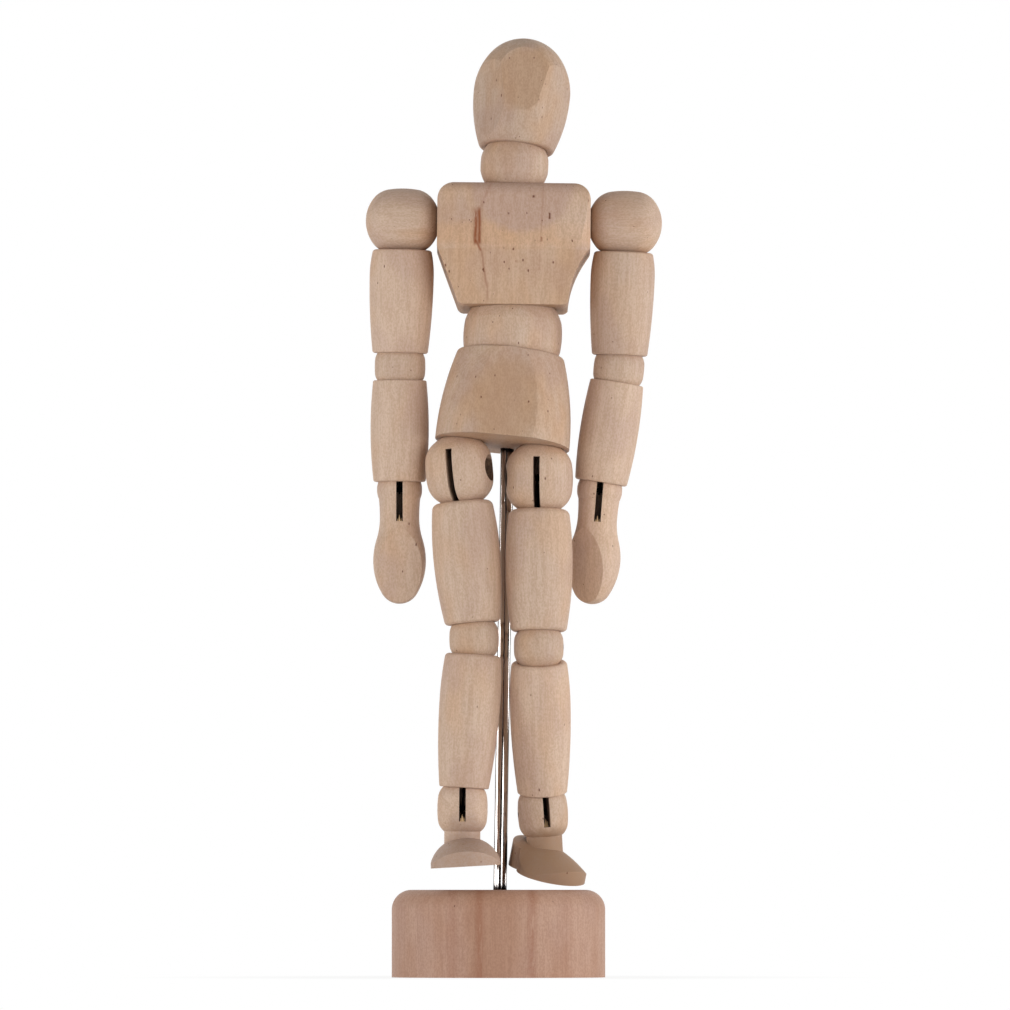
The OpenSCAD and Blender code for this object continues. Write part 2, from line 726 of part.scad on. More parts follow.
module shoulder_spring() {
    length = 2 * shoulder_half;
    path = spring_path(
        [0, -length], [shoulder_r - length / 2, -shoulder_r - length / 2], [ALONG_X, ALONG_X],
        [hook_step, hook_step]);
    place(shoulder_at[LEFT], chest_turn)
        rotate([0, 90, 0])
            wire(path);
}

module neck_bead() {
    color(wood)
        place(neck_at, neck_turn)
            difference() {
                ball(neck_r, neck_band, bead_ease_r);
                cylinder(r = spring_bore_r + bend_gap, h = 3 * neck_r, center = true);
            }
}

module neck_spring() {
    path = spring_path(
        [head_pin_h, chest_neck_pin_h - neck_h], [head_pin_h - hook_room, cup(neck_r) + over],
        [ALONG_Y, ALONG_Y]);
    translate(neck_at) bent_spring(path, 0, chest_turn, head_turn);
}

// An egg: above its widest plane the belly is cut down to a tighter side, and that to the crown.
// Each cut laps past the other by a small angle, and the crown's past the axis, so that they cross.
module head_profile() {
    top = head_h - head_belly - crown_r;
    side_r = (head_r ^ 2 + top ^ 2 - crown_r ^ 2) / (2 * (head_r - crown_r));
    join = atan2(top, side_r - head_r);
    lap = 3;
    difference() {
        mirror([0, 1])
            belly_half(
                head_belly, head_r, head_rim_r, mouth(neck_r, head_rim), head_h - head_belly + over);
        corner_waste([head_r - side_r, 0], side_r, bearing(0), bearing(join + 2 * lap));
        corner_waste([0, top], crown_r + trace, bearing(join - lap), bearing(90 + lap));
    }
}

// A flat cut whose plane lies a distance from the axis, tilted about its own level
module flat_cut(distance, tilt, angle) {
    rotate(angle)
        rotate([tilt, 0, 0])
            translate([-2 * head_r, -distance - 2 * head_r, -2 * head_h])
                cube([4 * head_r, 2 * head_r, 4 * head_h]);
}

module head() {
    color(wood)
        place(neck_at, head_turn)
            difference() {
                translate([0, 0, head_rim + head_belly])
                    difference() {
                        rotate_extrude() head_profile();
                        flat_cut(brow_flat, -brow_tilt, 0);
                        for (s = SIDE) flat_cut(cheek_flat, cheek_tilt, s * cheek_angle);
                    }
                sphere(cup(neck_r));
                cylinder(r = spring_bore_r, h = head_pin_h + hook_room);
                translate([0, 0, head_pin_h]) pin_hole(ALONG_X, -head_r, 2 * spring_bore_r);
            }
}

module head_pin() {
    place(neck_at, head_turn)
        translate([0, 0, head_pin_h])
            pin(ALONG_X, -2 * spring_bore_r, 2 * spring_bore_r - pin_gap);
}

// Arms

module shoulder_ball(k) {
    color(wood)
        place(shoulder_at[k], shoulder_turn)
            difference() {
                rotate([0, 90, 0]) ball(shoulder_r, shoulder_band, ball_ease_r);
                translate([-2 * shoulder_r, -slot_w / 2, -2 * shoulder_r])
                    cube([4 * shoulder_r, slot_w, 2 * shoulder_r + hook_room]);
                pin_hole(ALONG_Y, pin_recess - shoulder_band, shoulder_r);
            }
}

module shoulder_pin(k) {
    place(shoulder_at[k], shoulder_turn)
        pin(ALONG_Y, pin_recess + pin_gap - shoulder_band, shoulder_band - pin_recess);
}

module upper_arm_spring(k) {
    place(shoulder_at[k], upper_arm_turn[k])
        limb_spring(
            upper_arm_len, shoulder_r, elbow_r, -SIDE[k] * [ALONG_X, ALONG_X],
            SIDE[k] * [hook_step, hook_step]);
}

module upper_arm(k) {
    color(wood)
        place(shoulder_at[k], upper_arm_turn[k])
            limb(
                upper_arm_len, [shoulder_r, shoulder_rim, upper_arm_top_r],
                [elbow_r, elbow_rim, upper_arm_end_r], upper_arm_belly, upper_arm_r);
}

// The saw cut of an elbow opens away from the body
module elbow_bead(k) {
    color(wood)
        place(elbow_at[k], elbow_turn[k])
            mirror([LEFT - k, 0, 0])
                difference() {
                    ball(elbow_r, elbow_band, bead_ease_r);
                    translate([-hook_room, -bead_slot_w / 2, -2 * elbow_r])
                        cube([2 * elbow_r, bead_slot_w, 4 * elbow_r]);
                    pin_hole(ALONG_Y, pin_recess - elbow_band, elbow_r);
                }
}

module elbow_pin(k) {
    place(elbow_at[k], elbow_turn[k])
        pin(ALONG_Y, pin_recess + pin_gap - elbow_band, elbow_band - pin_recess);
}

module forearm_spring(k) {
    place(elbow_at[k], forearm_turn[k])
        limb_spring(forearm_len, elbow_r, wrist_r, [-SIDE[k] * ALONG_X, ALONG_Y], [-SIDE[k] * hook_step, 0]);
}

module forearm(k) {
    color(wood)
        place(elbow_at[k], forearm_turn[k])
            limb(
                forearm_len, [elbow_r, elbow_rim, forearm_top_r],
                [wrist_r, wrist_rim, forearm_end_r], forearm_belly, forearm_r);
}

// Half the hand's outline from the front: wrist ball, waisted neck, palm and rounded tips
module hand_profile() {
    tip = hand_len - hand_belly - hand_tip_r;
    side_r = (hand_r ^ 2 + tip ^ 2 - hand_tip_r ^ 2) / (2 * (hand_r - hand_tip_r));
    middle = [hand_r - side_r, 0];
    away = ([0, tip] - middle) / norm([0, tip] - middle);
    join = middle + side_r * away;
    swell = (hand_belly - hand_neck) / 2;
    swell_r = arc_radius((hand_r - hand_neck_r) / 2, swell);
    wrist_bow = 60;
    intersection() {
        circle(wrist_r);
        translate([0, -wrist_r]) square([wrist_r, 2 * wrist_r]);
    }
    difference() {
        translate([0, -hand_neck]) square([wrist_r, hand_neck]);
        translate([hand_neck_r + wrist_bow, -hand_neck]) circle(wrist_bow, $fn = arc_fn);
        difference() {
            translate([0, -wrist_r]) square([2 * wrist_r, 2 * wrist_r]);
            circle(wrist_r);
            translate([0, -2 * wrist_r - wrist_rim]) square([2 * wrist_r, 2 * wrist_r]);
        }
    }
    difference() {
        translate([0, -hand_neck - swell]) square([hand_r, swell]);
        translate([hand_neck_r + swell_r, -hand_neck]) circle(swell_r, $fn = arc_fn);
    }
    translate([0, -hand_belly])
        intersection() {
            translate([hand_r - swell_r, 0]) circle(swell_r, $fn = arc_fn);
            square([hand_r + over, swell]);
        }
    translate([0, -hand_belly])
        mirror([0, 1]) {
            intersection() {
                translate(middle) circle(side_r, $fn = arc_fn);
                square([hand_r + over, join.y]);
            }
            intersection() {
                translate([0, tip]) circle(hand_tip_r, $fn = arc_fn);
                translate([0, join.y]) square([hand_r, hand_tip_r]);
            }
        }
}

// The hand's outline from the side: full at the wrist, thinning to the finger tips
module hand_side() {
    taper = (hand_d - hand_tip_d) / 2 / (hand_len - hand_belly);
    wrist_half = hand_d / 2 + taper * (hand_belly - wrist_rim);
    polygon([
        [wrist_half, wrist_r], [wrist_half, -wrist_rim], [hand_tip_d / 2, -hand_len],
        [-hand_tip_d / 2, -hand_len], [-wrist_half, -wrist_rim], [-wrist_half, wrist_r]
    ]);
}

module hand(k) {
    color(wood)
        place(wrist_at[k], hand_turn[k])
            difference() {
                intersection() {
                    rotate_extrude() hand_profile();
                    rotate([0, 0, palm_turn[k]])
                        rotate([90, 0, 90])
                            linear_extrude(4 * hand_r, center = true) hand_side();
                }
                translate([-slot_w / 2, -2 * wrist_r, -hand_slot])
                    cube([slot_w, 2 * wrist_r + hook_room, hand_slot + 2 * wrist_r]);
                pin_hole(ALONG_X, -wrist_r, wrist_r);
            }
}

module wrist_pin(k) {
    place(wrist_at[k], hand_turn[k])
        pin(ALONG_X, pin_recess - wrist_r, wrist_r - pin_recess);
}

// Legs

module hip_ball(k) {
    color(wood)
        difference() {
            place(hip_at[k], hip_turn[k])
                difference() {
                    ball(hip_r, hip_band, ball_ease_r);
                    translate([-slot_w / 2, -2 * hip_r, -2 * hip_r])
                        cube([slot_w, 2 * hip_r + hook_room, 2 * hip_r + hip_rim - 2 * pin_d]);
                    pin_hole(ALONG_X, -hip_r, hip_r);
                    rotate([0, -SIDE[k] * 90, 0])
                        translate([0, 0, hip_band - hip_counterbore_h])
                            cylinder(d = hip_counterbore_d, h = hip_r);
                }
            place(hip_at[k], pelvis_turn) cylinder(r = spring_bore_r, h = 2 * hip_r);
        }
}

module hip_spring(k) {
    rise = hip_drop - pelvis_pin_drop;
    path = spring_path(
        [rise, 0], [rise - hook_room, cup(hip_r) + over], [ALONG_Y, ALONG_Y], [0, hook_step]);
    translate(hip_at[k]) bent_spring(path, hook_room, hip_turn[k], pelvis_turn);
}

module hip_pin(k) {
    reach = hip_band - pin_d - pin_recess;
    place(hip_at[k], hip_turn[k]) pin(ALONG_X, -reach, reach);
}

module thigh_spring(k) {
    place(hip_at[k], thigh_turn[k])
        limb_spring(
            thigh_len, hip_r, knee_r, [ALONG_Y, about_z(ALONG_Y, shin_turn[k].z - thigh_turn[k].z)],
            [-hook_step, -hook_step]);
}

module thigh(k) {
    color(wood)
        place(hip_at[k], thigh_turn[k])
            limb(
                thigh_len, [hip_r, hip_rim, thigh_top_r],
                [knee_r, knee_rim, thigh_end_r], thigh_belly, thigh_r);
}

// The saw cut of a knee opens to the back
module knee_bead(k) {
    color(wood)
        place(knee_at[k], knee_turn[k])
            difference() {
                ball(knee_r, knee_band, bead_ease_r);
                translate([-bead_slot_w / 2, -hook_room, -2 * knee_r])
                    cube([bead_slot_w, 2 * knee_r, 4 * knee_r]);
                pin_hole(ALONG_X, pin_recess - knee_band, knee_r);
            }
}

module knee_pin(k) {
    place(knee_at[k], knee_turn[k])
        pin(ALONG_X, pin_recess + pin_gap - knee_band, knee_band - pin_recess);
}

module shin_spring(k) {
    place(knee_at[k], shin_turn[k])
        limb_spring(
            shin_len, knee_r, ankle_r, [ALONG_Y, about_z(ALONG_Y, ankle_turn[k].z - shin_turn[k].z)],
            [hook_step, 0]);
}

module shin(k) {
    color(wood)
        place(knee_at[k], shin_turn[k])
            limb(
                shin_len, [knee_r, knee_rim, shin_top_r],
                [ankle_r, ankle_rim, shin_end_r], shin_belly, shin_r);
}

module ankle_pin(k) {
    place(ankle_at[k], ankle_turn[k])
        pin(ALONG_X, pin_recess - ankle_band, ankle_band - pin_recess);
}

// The sole's outline: heel and toe circles joined by their outer tangents
module sole_outline() {
    spread = toe_front + heel_back;
    lean = asin((toe_r - heel_r) / spread);
    heel = [0, heel_back];
    toe = [0, -toe_front];
    side = [cos(lean), -sin(lean)];
    other = [-side.x, side.y];
    translate(heel) circle(heel_r);
    translate(toe) circle(toe_r);
    polygon([heel + heel_r * side, toe + toe_r * side, toe + toe_r * other, heel + heel_r * other]);
}

// The foot below the ankle ball: a flat sole under a rounded top that falls to the toe
module foot_block() {
    intersection() {
        translate([0, 0, -foot_drop]) linear_extrude(foot_top + over) sole_outline();
        translate([0, heel_back, foot_top - foot_drop - instep_r])
            rotate([0, 90, 0])
                rotate_extrude($fn = 144)
                    translate([instep_r - foot_bow, 0]) circle(foot_bow);
    }
}

module foot(k) {
    color(wood)
        difference() {
            union() {
                place(ankle_at[k], ankle_turn[k]) {
                    ball(ankle_r, ankle_band, bead_ease_r);
                    translate([0, 0, foot_top / 2 - foot_drop])
                        cylinder(r = foot_neck_r, h = foot_drop - foot_top / 2);
                }
                place(ankle_at[k], foot_turn[k]) foot_block();
            }
            place(ankle_at[k], ankle_turn[k]) {
                translate([-slot_w / 2, -2 * ankle_r, -ankle_slot])
                    cube([slot_w, 2 * ankle_r + hook_room, ankle_slot + 2 * ankle_r]);
                pin_hole(ALONG_X, -ankle_r, ankle_r);
            }
        }
}

base();
rod();
pelvis();
pelvis_pin();
waist_bead();
waist_spring();
chest();
chest_waist_pin();
chest_neck_pin();
neck_bead();
neck_spring();
head();
head_pin();
shoulder_spring();
shoulder_ball(RIGHT);  // right_shoulder_ball
shoulder_pin(RIGHT);  // right_shoulder_pin
upper_arm_spring(RIGHT);  // right_upper_arm_spring
upper_arm(RIGHT);  // right_upper_arm
elbow_bead(RIGHT);  // right_elbow_bead
elbow_pin(RIGHT);  // right_elbow_pin
forearm_spring(RIGHT);  // right_forearm_spring
forearm(RIGHT);  // right_forearm
wrist_pin(RIGHT);  // right_wrist_pin
hand(RIGHT);  // right_hand
shoulder_ball(LEFT);  // left_shoulder_ball
shoulder_pin(LEFT);  // left_shoulder_pin
upper_arm_spring(LEFT);  // left_upper_arm_spring
upper_arm(LEFT);  // left_upper_arm
elbow_bead(LEFT);  // left_elbow_bead
elbow_pin(LEFT);  // left_elbow_pin
forearm_spring(LEFT);  // left_forearm_spring
forearm(LEFT);  // left_forearm
wrist_pin(LEFT);  // left_wrist_pin
hand(LEFT);  // left_hand
hip_ball(RIGHT);  // right_hip_ball
hip_spring(RIGHT);  // right_hip_spring
hip_pin(RIGHT);  // right_hip_pin
thigh_spring(RIGHT);  // right_thigh_spring
thigh(RIGHT);  // right_thigh
knee_bead(RIGHT);  // right_knee_bead
knee_pin(RIGHT);  // right_knee_pin
shin_spring(RIGHT);  // right_shin_spring
shin(RIGHT);  // right_shin
ankle_pin(RIGHT);  // right_ankle_pin
foot(RIGHT);  // right_foot
hip_ball(LEFT);  // left_hip_ball
hip_spring(LEFT);  // left_hip_spring
hip_pin(LEFT);  // left_hip_pin
thigh_spring(LEFT);  // left_thigh_spring
thigh(LEFT);  // left_thigh
knee_bead(LEFT);  // left_knee_bead
knee_pin(LEFT);  // left_knee_pin
shin_spring(LEFT);  // left_shin_spring
shin(LEFT);  // left_shin
ankle_pin(LEFT);  // left_ankle_pin
foot(LEFT);  // left_foot
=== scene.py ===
"""Dresses the jointed wooden figure: woods, steels, wound springs, saw-cut splinters and a plain studio."""

import json

import bmesh
import bpy
from mathutils import Matrix, Vector
from mathutils.bvhtree import BVHTree


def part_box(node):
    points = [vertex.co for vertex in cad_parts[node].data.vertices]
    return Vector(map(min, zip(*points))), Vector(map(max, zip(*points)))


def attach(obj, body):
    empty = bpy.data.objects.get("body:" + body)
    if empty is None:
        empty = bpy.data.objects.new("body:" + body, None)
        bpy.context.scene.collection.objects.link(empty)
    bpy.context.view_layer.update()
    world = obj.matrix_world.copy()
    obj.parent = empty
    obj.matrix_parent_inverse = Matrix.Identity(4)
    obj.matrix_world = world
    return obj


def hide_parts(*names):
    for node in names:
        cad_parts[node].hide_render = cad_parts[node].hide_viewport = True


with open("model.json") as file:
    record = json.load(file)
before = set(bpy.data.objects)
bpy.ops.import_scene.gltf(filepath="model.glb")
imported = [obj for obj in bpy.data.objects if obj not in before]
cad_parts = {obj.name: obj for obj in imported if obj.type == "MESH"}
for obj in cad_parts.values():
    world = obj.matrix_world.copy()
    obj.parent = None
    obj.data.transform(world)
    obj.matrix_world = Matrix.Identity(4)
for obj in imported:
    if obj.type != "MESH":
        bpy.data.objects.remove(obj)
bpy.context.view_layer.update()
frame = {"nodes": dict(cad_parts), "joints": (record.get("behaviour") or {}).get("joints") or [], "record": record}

bl_info = {
    "name": "Jointed wooden figure",
    "version": (1, 0, 0),
    "blender": (4, 5, 0),
    "location": "View3D > Sidebar > Figure",
    "description": "Gives the packed figure its woods, steels, springs, splinters and studio",
    "category": "Object",
}

MM = 0.001
NODES = frame["nodes"]
PLACES = {joint["name"]: Vector(joint["pos_m"]) for joint in frame["joints"]}
AXES = {joint["name"]: Vector(joint["axis"]) for joint in frame["joints"]}
BODY_OF = {node: body for body, nodes in frame["record"]["behaviour"]["bodies"].items() for node in nodes}
SIDES = ("right", "left")
UP = Vector((0, 0, 1))
ACROSS = Vector((1, 0, 0))


def linear(red, green, blue):
    """A colour as it is read off a screen, 0 to 255, turned into the renderer's own values."""
    def channel(value):
        share = value / 255
        return share / 12.92 if share <= 0.04045 else ((share + 0.055) / 1.055) ** 2.4

    return tuple(channel(value) for value in (red, green, blue))


def colour_prop(name, description, red, green, blue):
    """A colour that the user can change."""
    return bpy.props.FloatVectorProperty(
        name=name, description=description, default=linear(red, green, blue),
        subtype="COLOR", size=3, min=0, max=1)


def length_prop(name, description, default):
    """A length in metres that the user can change."""
    return bpy.props.FloatProperty(
        name=name, description=description, default=default, unit="LENGTH", precision=5, min=0)


def share_prop(name, description, default):
    """A share from nought to one that the user can change."""
    return bpy.props.FloatProperty(
        name=name, description=description, default=default, subtype="FACTOR", min=0, max=1)


class FigureWoodProps(bpy.types.PropertyGroup):
    """Colours and grain of the figure's pale wood."""
    pale: colour_prop("Pale wood", "Colour of the lighter wood between the fibres", 211, 184, 162)
    warm: colour_prop("Warm wood", "Colour of the honey-toned clouds", 207, 165, 128)
    rosy: colour_prop("Rosy wood", "Colour of the greyish pink clouds", 193, 163, 147)
    fibre: colour_prop("Fibre", "Colour of the darker fibres", 168, 130, 99)
    pore: colour_prop("Pore", "Colour of the open pores", 98, 46, 26)
    stain: colour_prop("Mineral stain", "Colour of the red-brown streak in the chest", 146, 84, 54)
    # Painted shade: the colour that hollows, cuts and bores are darkened towards
    recess_shade: colour_prop("Recess shade", "Colour deep in saw cuts, seats and bores", 48, 27, 15)
    splinter: colour_prop("Splinter", "Colour of torn wood at the ends of saw cuts", 214, 186, 136)
    fibre_width: length_prop("Fibre width", "Width of one fibre streak", 0.34 * MM)
    ring_width: length_prop("Ring width", "Spacing of the growth rings", 3.4 * MM)
    pore_spacing: length_prop("Pore spacing", "Size of the cells that may hold one pore", 2.1 * MM)
    pore_share: share_prop("Pore share", "Share of the cells that hold a pore", 0.35)
    roughness: share_prop("Roughness", "Mean roughness of the sanded face", 0.62)


class BaseWoodProps(bpy.types.PropertyGroup):
    """Colours of the base's redder wood."""
    pale: colour_prop("Pale wood", "Colour of the lighter wood of the base", 190, 150, 126)
    warm: colour_prop("Warm wood", "Colour of the orange bands of the base", 172, 122, 90)
    rosy: colour_prop("Rosy wood", "Colour of the pink bands of the base", 184, 145, 125)
    fibre: colour_prop("Fibre", "Colour of the darker fibres of the base", 146, 100, 76)
    stain: colour_prop("Streak", "Colour of the upright streaks", 148, 88, 56)
    # Painted shade: the colour that the hole in the top is darkened towards
    recess_shade: colour_prop("Hole shade", "Colour of the shaded hole in the top", 60, 34, 22)


class SteelProps(bpy.types.PropertyGroup):
    """Colours of the rod, the pins and the springs."""
    rod: colour_prop("Rod", "Colour of the bright rod", 212, 206, 202)
    pin: colour_prop("Pin", "Colour of the cross pins", 150, 142, 134)
    spring: colour_prop("Spring", "Colour of the spring wire", 140, 136, 132)
    shade: colour_prop("Shaded steel", "Colour of steel deep in a saw cut", 14, 9, 7)


class StageProps(bpy.types.PropertyGroup):
    """Camera, lamps and floor."""
    floor: colour_prop("Floor", "Colour of the floor", 244, 244, 244)
    distance: length_prop("Camera distance", "From the camera to the figure", 5.0)
    eye_height: length_prop("Camera height", "Height of the camera over the floor", 0.03)
    view_width: length_prop("View width", "Width that the picture takes in at the figure", 0.3258)
    aim_across: bpy.props.FloatProperty(
        name="Aim across", description="Sideways place of the picture's middle",
        default=2.1 * MM, unit="LENGTH", precision=5)
    aim_height: length_prop("Aim height", "Height of the picture's middle", 0.1523)


def props():
    """All settings, from the scene."""
    return bpy.context.scene.figure_looks


class FigureLooks(bpy.types.PropertyGroup):
    """Everything that the panel shows."""
    wood: bpy.props.PointerProperty(name="Figure wood", type=FigureWoodProps)
    base: bpy.props.PointerProperty(name="Base wood", type=BaseWoodProps)
    steel: bpy.props.PointerProperty(name="Steel", type=SteelProps)
    stage: bpy.props.PointerProperty(name="Stage", type=StageProps)


# Small helpers for node trees

def add(tree, kind, **settings):
    """A new node with its settings."""
    node = tree.nodes.new(kind)
    for key, value in settings.items():
        setattr(node, key, value)
    return node


def feed(tree, source, socket):
    """Links a socket, or sets a plain value on it."""
    if isinstance(source, bpy.types.NodeSocket):
        tree.links.new(source, socket)
    else:
        socket.default_value = source


def math_node(tree, operation, first, second=0.0, third=0.0):
    """One sum on numbers."""
    node = add(tree, "ShaderNodeMath", operation=operation)
    for source, socket in zip((first, second, third), node.inputs):
        feed(tree, source, socket)
    return node.outputs[0]


def vector_node(tree, operation, first, second):
    """One sum on vectors."""
    node = add(tree, "ShaderNodeVectorMath", operation=operation)
    feed(tree, first, node.inputs[0])
    feed(tree, second, node.inputs[1])
    return node.outputs["Vector"]


def mix_colour(tree, share, first, second):
    """Two colours mixed by a mask."""
    node = add(tree, "ShaderNodeMix", data_type="RGBA")
    feed(tree, share, node.inputs["Factor"])
    for value, socket in ((first, node.inputs[6]), (second, node.inputs[7])):
        feed(tree, (*value, 1) if isinstance(value, (tuple, list)) else value, socket)
    return node.outputs[2]


def smooth_range(tree, value, low, high, to_low=0.0, to_high=1.0):
    """A value eased from one range to another."""
    node = add(tree, "ShaderNodeMapRange", interpolation_type="SMOOTHSTEP")
    for source, name in ((value, "Value"), (low, "From Min"), (high, "From Max"),
                         (to_low, "To Min"), (to_high, "To Max")):
        feed(tree, source, node.inputs[name])
    return node.outputs["Result"]


def noise(tree, vector, detail=2.0, roughness=0.5):
    """Noise with its value centred on a half, about one spot to each unit of the vector."""
    node = add(tree, "ShaderNodeTexNoise")
    feed(tree, vector, node.inputs["Vector"])
    node.inputs["Scale"].default_value = 1.0
    node.inputs["Detail"].default_value = detail
    node.inputs["Roughness"].default_value = roughness
    return node.outputs["Fac"]


def new_group(name, inputs, outputs):
    """An empty node group with named sockets, and its two end nodes."""
    tree = bpy.data.node_groups.new(name, "ShaderNodeTree")
    for socket, kind, default in inputs:
        made = tree.interface.new_socket(name=socket, in_out="INPUT", socket_type=kind)
        if default is not None:
            made.default_value = default
    for socket in outputs:
        tree.interface.new_socket(name=socket, in_out="OUTPUT", socket_type="NodeSocketFloat")
    return tree, add(tree, "NodeGroupInput"), add(tree, "NodeGroupOutput")


VALUE = "NodeSocketFloat"
VECTOR = "NodeSocketVector"
SEED_STEP = (0.173, 0.311, 0.237)


def seeded(tree, vector, seed):
    """A vector moved off by a seed, so that no two pieces are cut from the same spot of the wood."""
    step = add(tree, "ShaderNodeVectorMath", operation="SCALE")
    step.inputs[0].default_value = SEED_STEP
    feed(tree, seed, step.inputs["Scale"])
    return vector_node(tree, "ADD", vector, step.outputs["Vector"])


def stretched(tree, vector, width, length_ratio):
    """A vector measured in widths, drawn out along the grain."""
    count = math_node(tree, "DIVIDE", 1.0, width)
    along = math_node(tree, "DIVIDE", count, length_ratio)
    scale = add(tree, "ShaderNodeCombineXYZ")
    for source, socket in zip((count, count, along), scale.inputs):
        feed(tree, source, socket)
    return vector_node(tree, "MULTIPLY", vector, scale.outputs[0])


FINE_WEIGHT = 0.28
WIDE_WEIGHT = 0.22
SPECKLE_WEIGHT = 0.5
WIDE_STEP = 3.4
SPECKLE_WIDTH = 0.5 * MM
PITH_DISTANCE = 24 * MM
PITH_TURN = 2.4
SWAY_LENGTH = 14 * MM
SWAY_DEPTH = 6 * MM
WARM_CLOUD = 11 * MM
ROSY_CLOUD = 13 * MM
ROSY_STEP = (7.3, 2.9, 5.1)


def make_grain_group():
    """Fibres along the grain with a sanded speckle, growth rings round a far pith, and slow clouds."""
    tree, start, end = new_group(
        "Turned grain",
        [("Vector", VECTOR, None), ("Seed", VALUE, 0.0), ("Fibre Width", VALUE, 0.5 * MM),
         ("Ring Width", VALUE, 2.6 * MM)],
        ["Fibre", "Rings", "Warm Cloud", "Rosy Cloud"])
    sockets = start.outputs
    place = seeded(tree, sockets["Vector"], sockets["Seed"])

    fine = noise(tree, stretched(tree, place, sockets["Fibre Width"], length_ratio=26.0), roughness=0.55)
    wide_width = math_node(tree, "MULTIPLY", sockets["Fibre Width"], WIDE_STEP)
    wide = noise(tree, stretched(tree, place, wide_width, length_ratio=18.0))
    speckle = noise(tree, stretched(tree, place, SPECKLE_WIDTH, length_ratio=1.6), roughness=0.6)
    fibre = math_node(tree, "MULTIPLY", fine, FINE_WEIGHT)
    fibre = math_node(tree, "MULTIPLY_ADD", wide, WIDE_WEIGHT, fibre)
    fibre = math_node(tree, "MULTIPLY_ADD", speckle, SPECKLE_WEIGHT, fibre)
    feed(tree, smooth_range(tree, fibre, low=0.41, high=0.60), end.inputs["Fibre"])

    split = add(tree, "ShaderNodeSeparateXYZ")
    feed(tree, sockets["Vector"], split.inputs[0])
    angle = math_node(tree, "MULTIPLY", sockets["Seed"], PITH_TURN)
    squares = []
    for part, turn in ((split.outputs[0], "COSINE"), (split.outputs[1], "SINE")):
        pith = math_node(tree, "MULTIPLY", math_node(tree, turn, angle), PITH_DISTANCE)
        from_pith = math_node(tree, "ADD", part, pith)
        squares.append(math_node(tree, "MULTIPLY", from_pith, from_pith))
    radius = math_node(tree, "SQRT", math_node(tree, "ADD", *squares))
    sway = noise(tree, stretched(tree, place, SWAY_LENGTH, length_ratio=2.5))
    bent = math_node(tree, "ADD", radius, math_node(tree, "MULTIPLY", sway, SWAY_DEPTH))
    turns = math_node(tree, "FRACT", math_node(tree, "DIVIDE", bent, sockets["Ring Width"]))
    rise = smooth_range(tree, turns, low=0.35, high=0.92)
    fall = smooth_range(tree, turns, low=0.93, high=1.0, to_low=1.0, to_high=0.0)
    feed(tree, math_node(tree, "MULTIPLY", rise, fall), end.inputs["Rings"])

    warm = noise(tree, stretched(tree, place, WARM_CLOUD, length_ratio=2.2), roughness=0.55)
    feed(tree, smooth_range(tree, warm, low=0.40, high=0.68), end.inputs["Warm Cloud"])
    elsewhere = vector_node(tree, "ADD", stretched(tree, place, ROSY_CLOUD, length_ratio=1.7), ROSY_STEP)
    rosy = noise(tree, elsewhere)
    feed(tree, smooth_range(tree, rosy, low=0.42, high=0.66), end.inputs["Rosy Cloud"])
    return tree


PORE_LEAST = 0.06
PORE_SPREAD = 0.11
PORE_BOTTOM = 0.45
RAGGED_WIDTH = 0.35 * MM


def make_pore_group():
    """Small open pores, a little longer along the grain, in a share of the cells."""
    tree, start, end = new_group(
        "Open pores",
        [("Vector", VECTOR, None), ("Seed", VALUE, 0.0), ("Spacing", VALUE, 3 * MM), ("Share", VALUE, 0.4)],
        ["Pores"])
    sockets = start.outputs
    place = seeded(tree, sockets["Vector"], sockets["Seed"])
    cells = add(tree, "ShaderNodeTexVoronoi", feature="F1")
    feed(tree, stretched(tree, place, sockets["Spacing"], length_ratio=1.9), cells.inputs["Vector"])
    cells.inputs["Scale"].default_value = 1.0
    draw = add(tree, "ShaderNodeSeparateColor")
    feed(tree, cells.outputs["Color"], draw.inputs[0])
    held = math_node(tree, "LESS_THAN", draw.outputs[0], sockets["Share"])
    ragged = noise(tree, stretched(tree, place, RAGGED_WIDTH, length_ratio=2.0), detail=1.0)
    reach = math_node(tree, "MULTIPLY_ADD", draw.outputs[1], PORE_SPREAD, PORE_LEAST)
    reach = math_node(tree, "MULTIPLY", reach, math_node(tree, "ADD", ragged, 0.5))
    bottom = math_node(tree, "MULTIPLY", reach, PORE_BOTTOM)
    depth = smooth_range(tree, cells.outputs["Distance"], bottom, reach, to_low=1.0, to_high=0.0)
    feed(tree, math_node(tree, "MULTIPLY", depth, held), end.inputs["Pores"])
    return tree


STREAK_SWAY_LENGTH = 5 * MM
STREAK_BREAK_WIDTH = 0.8 * MM


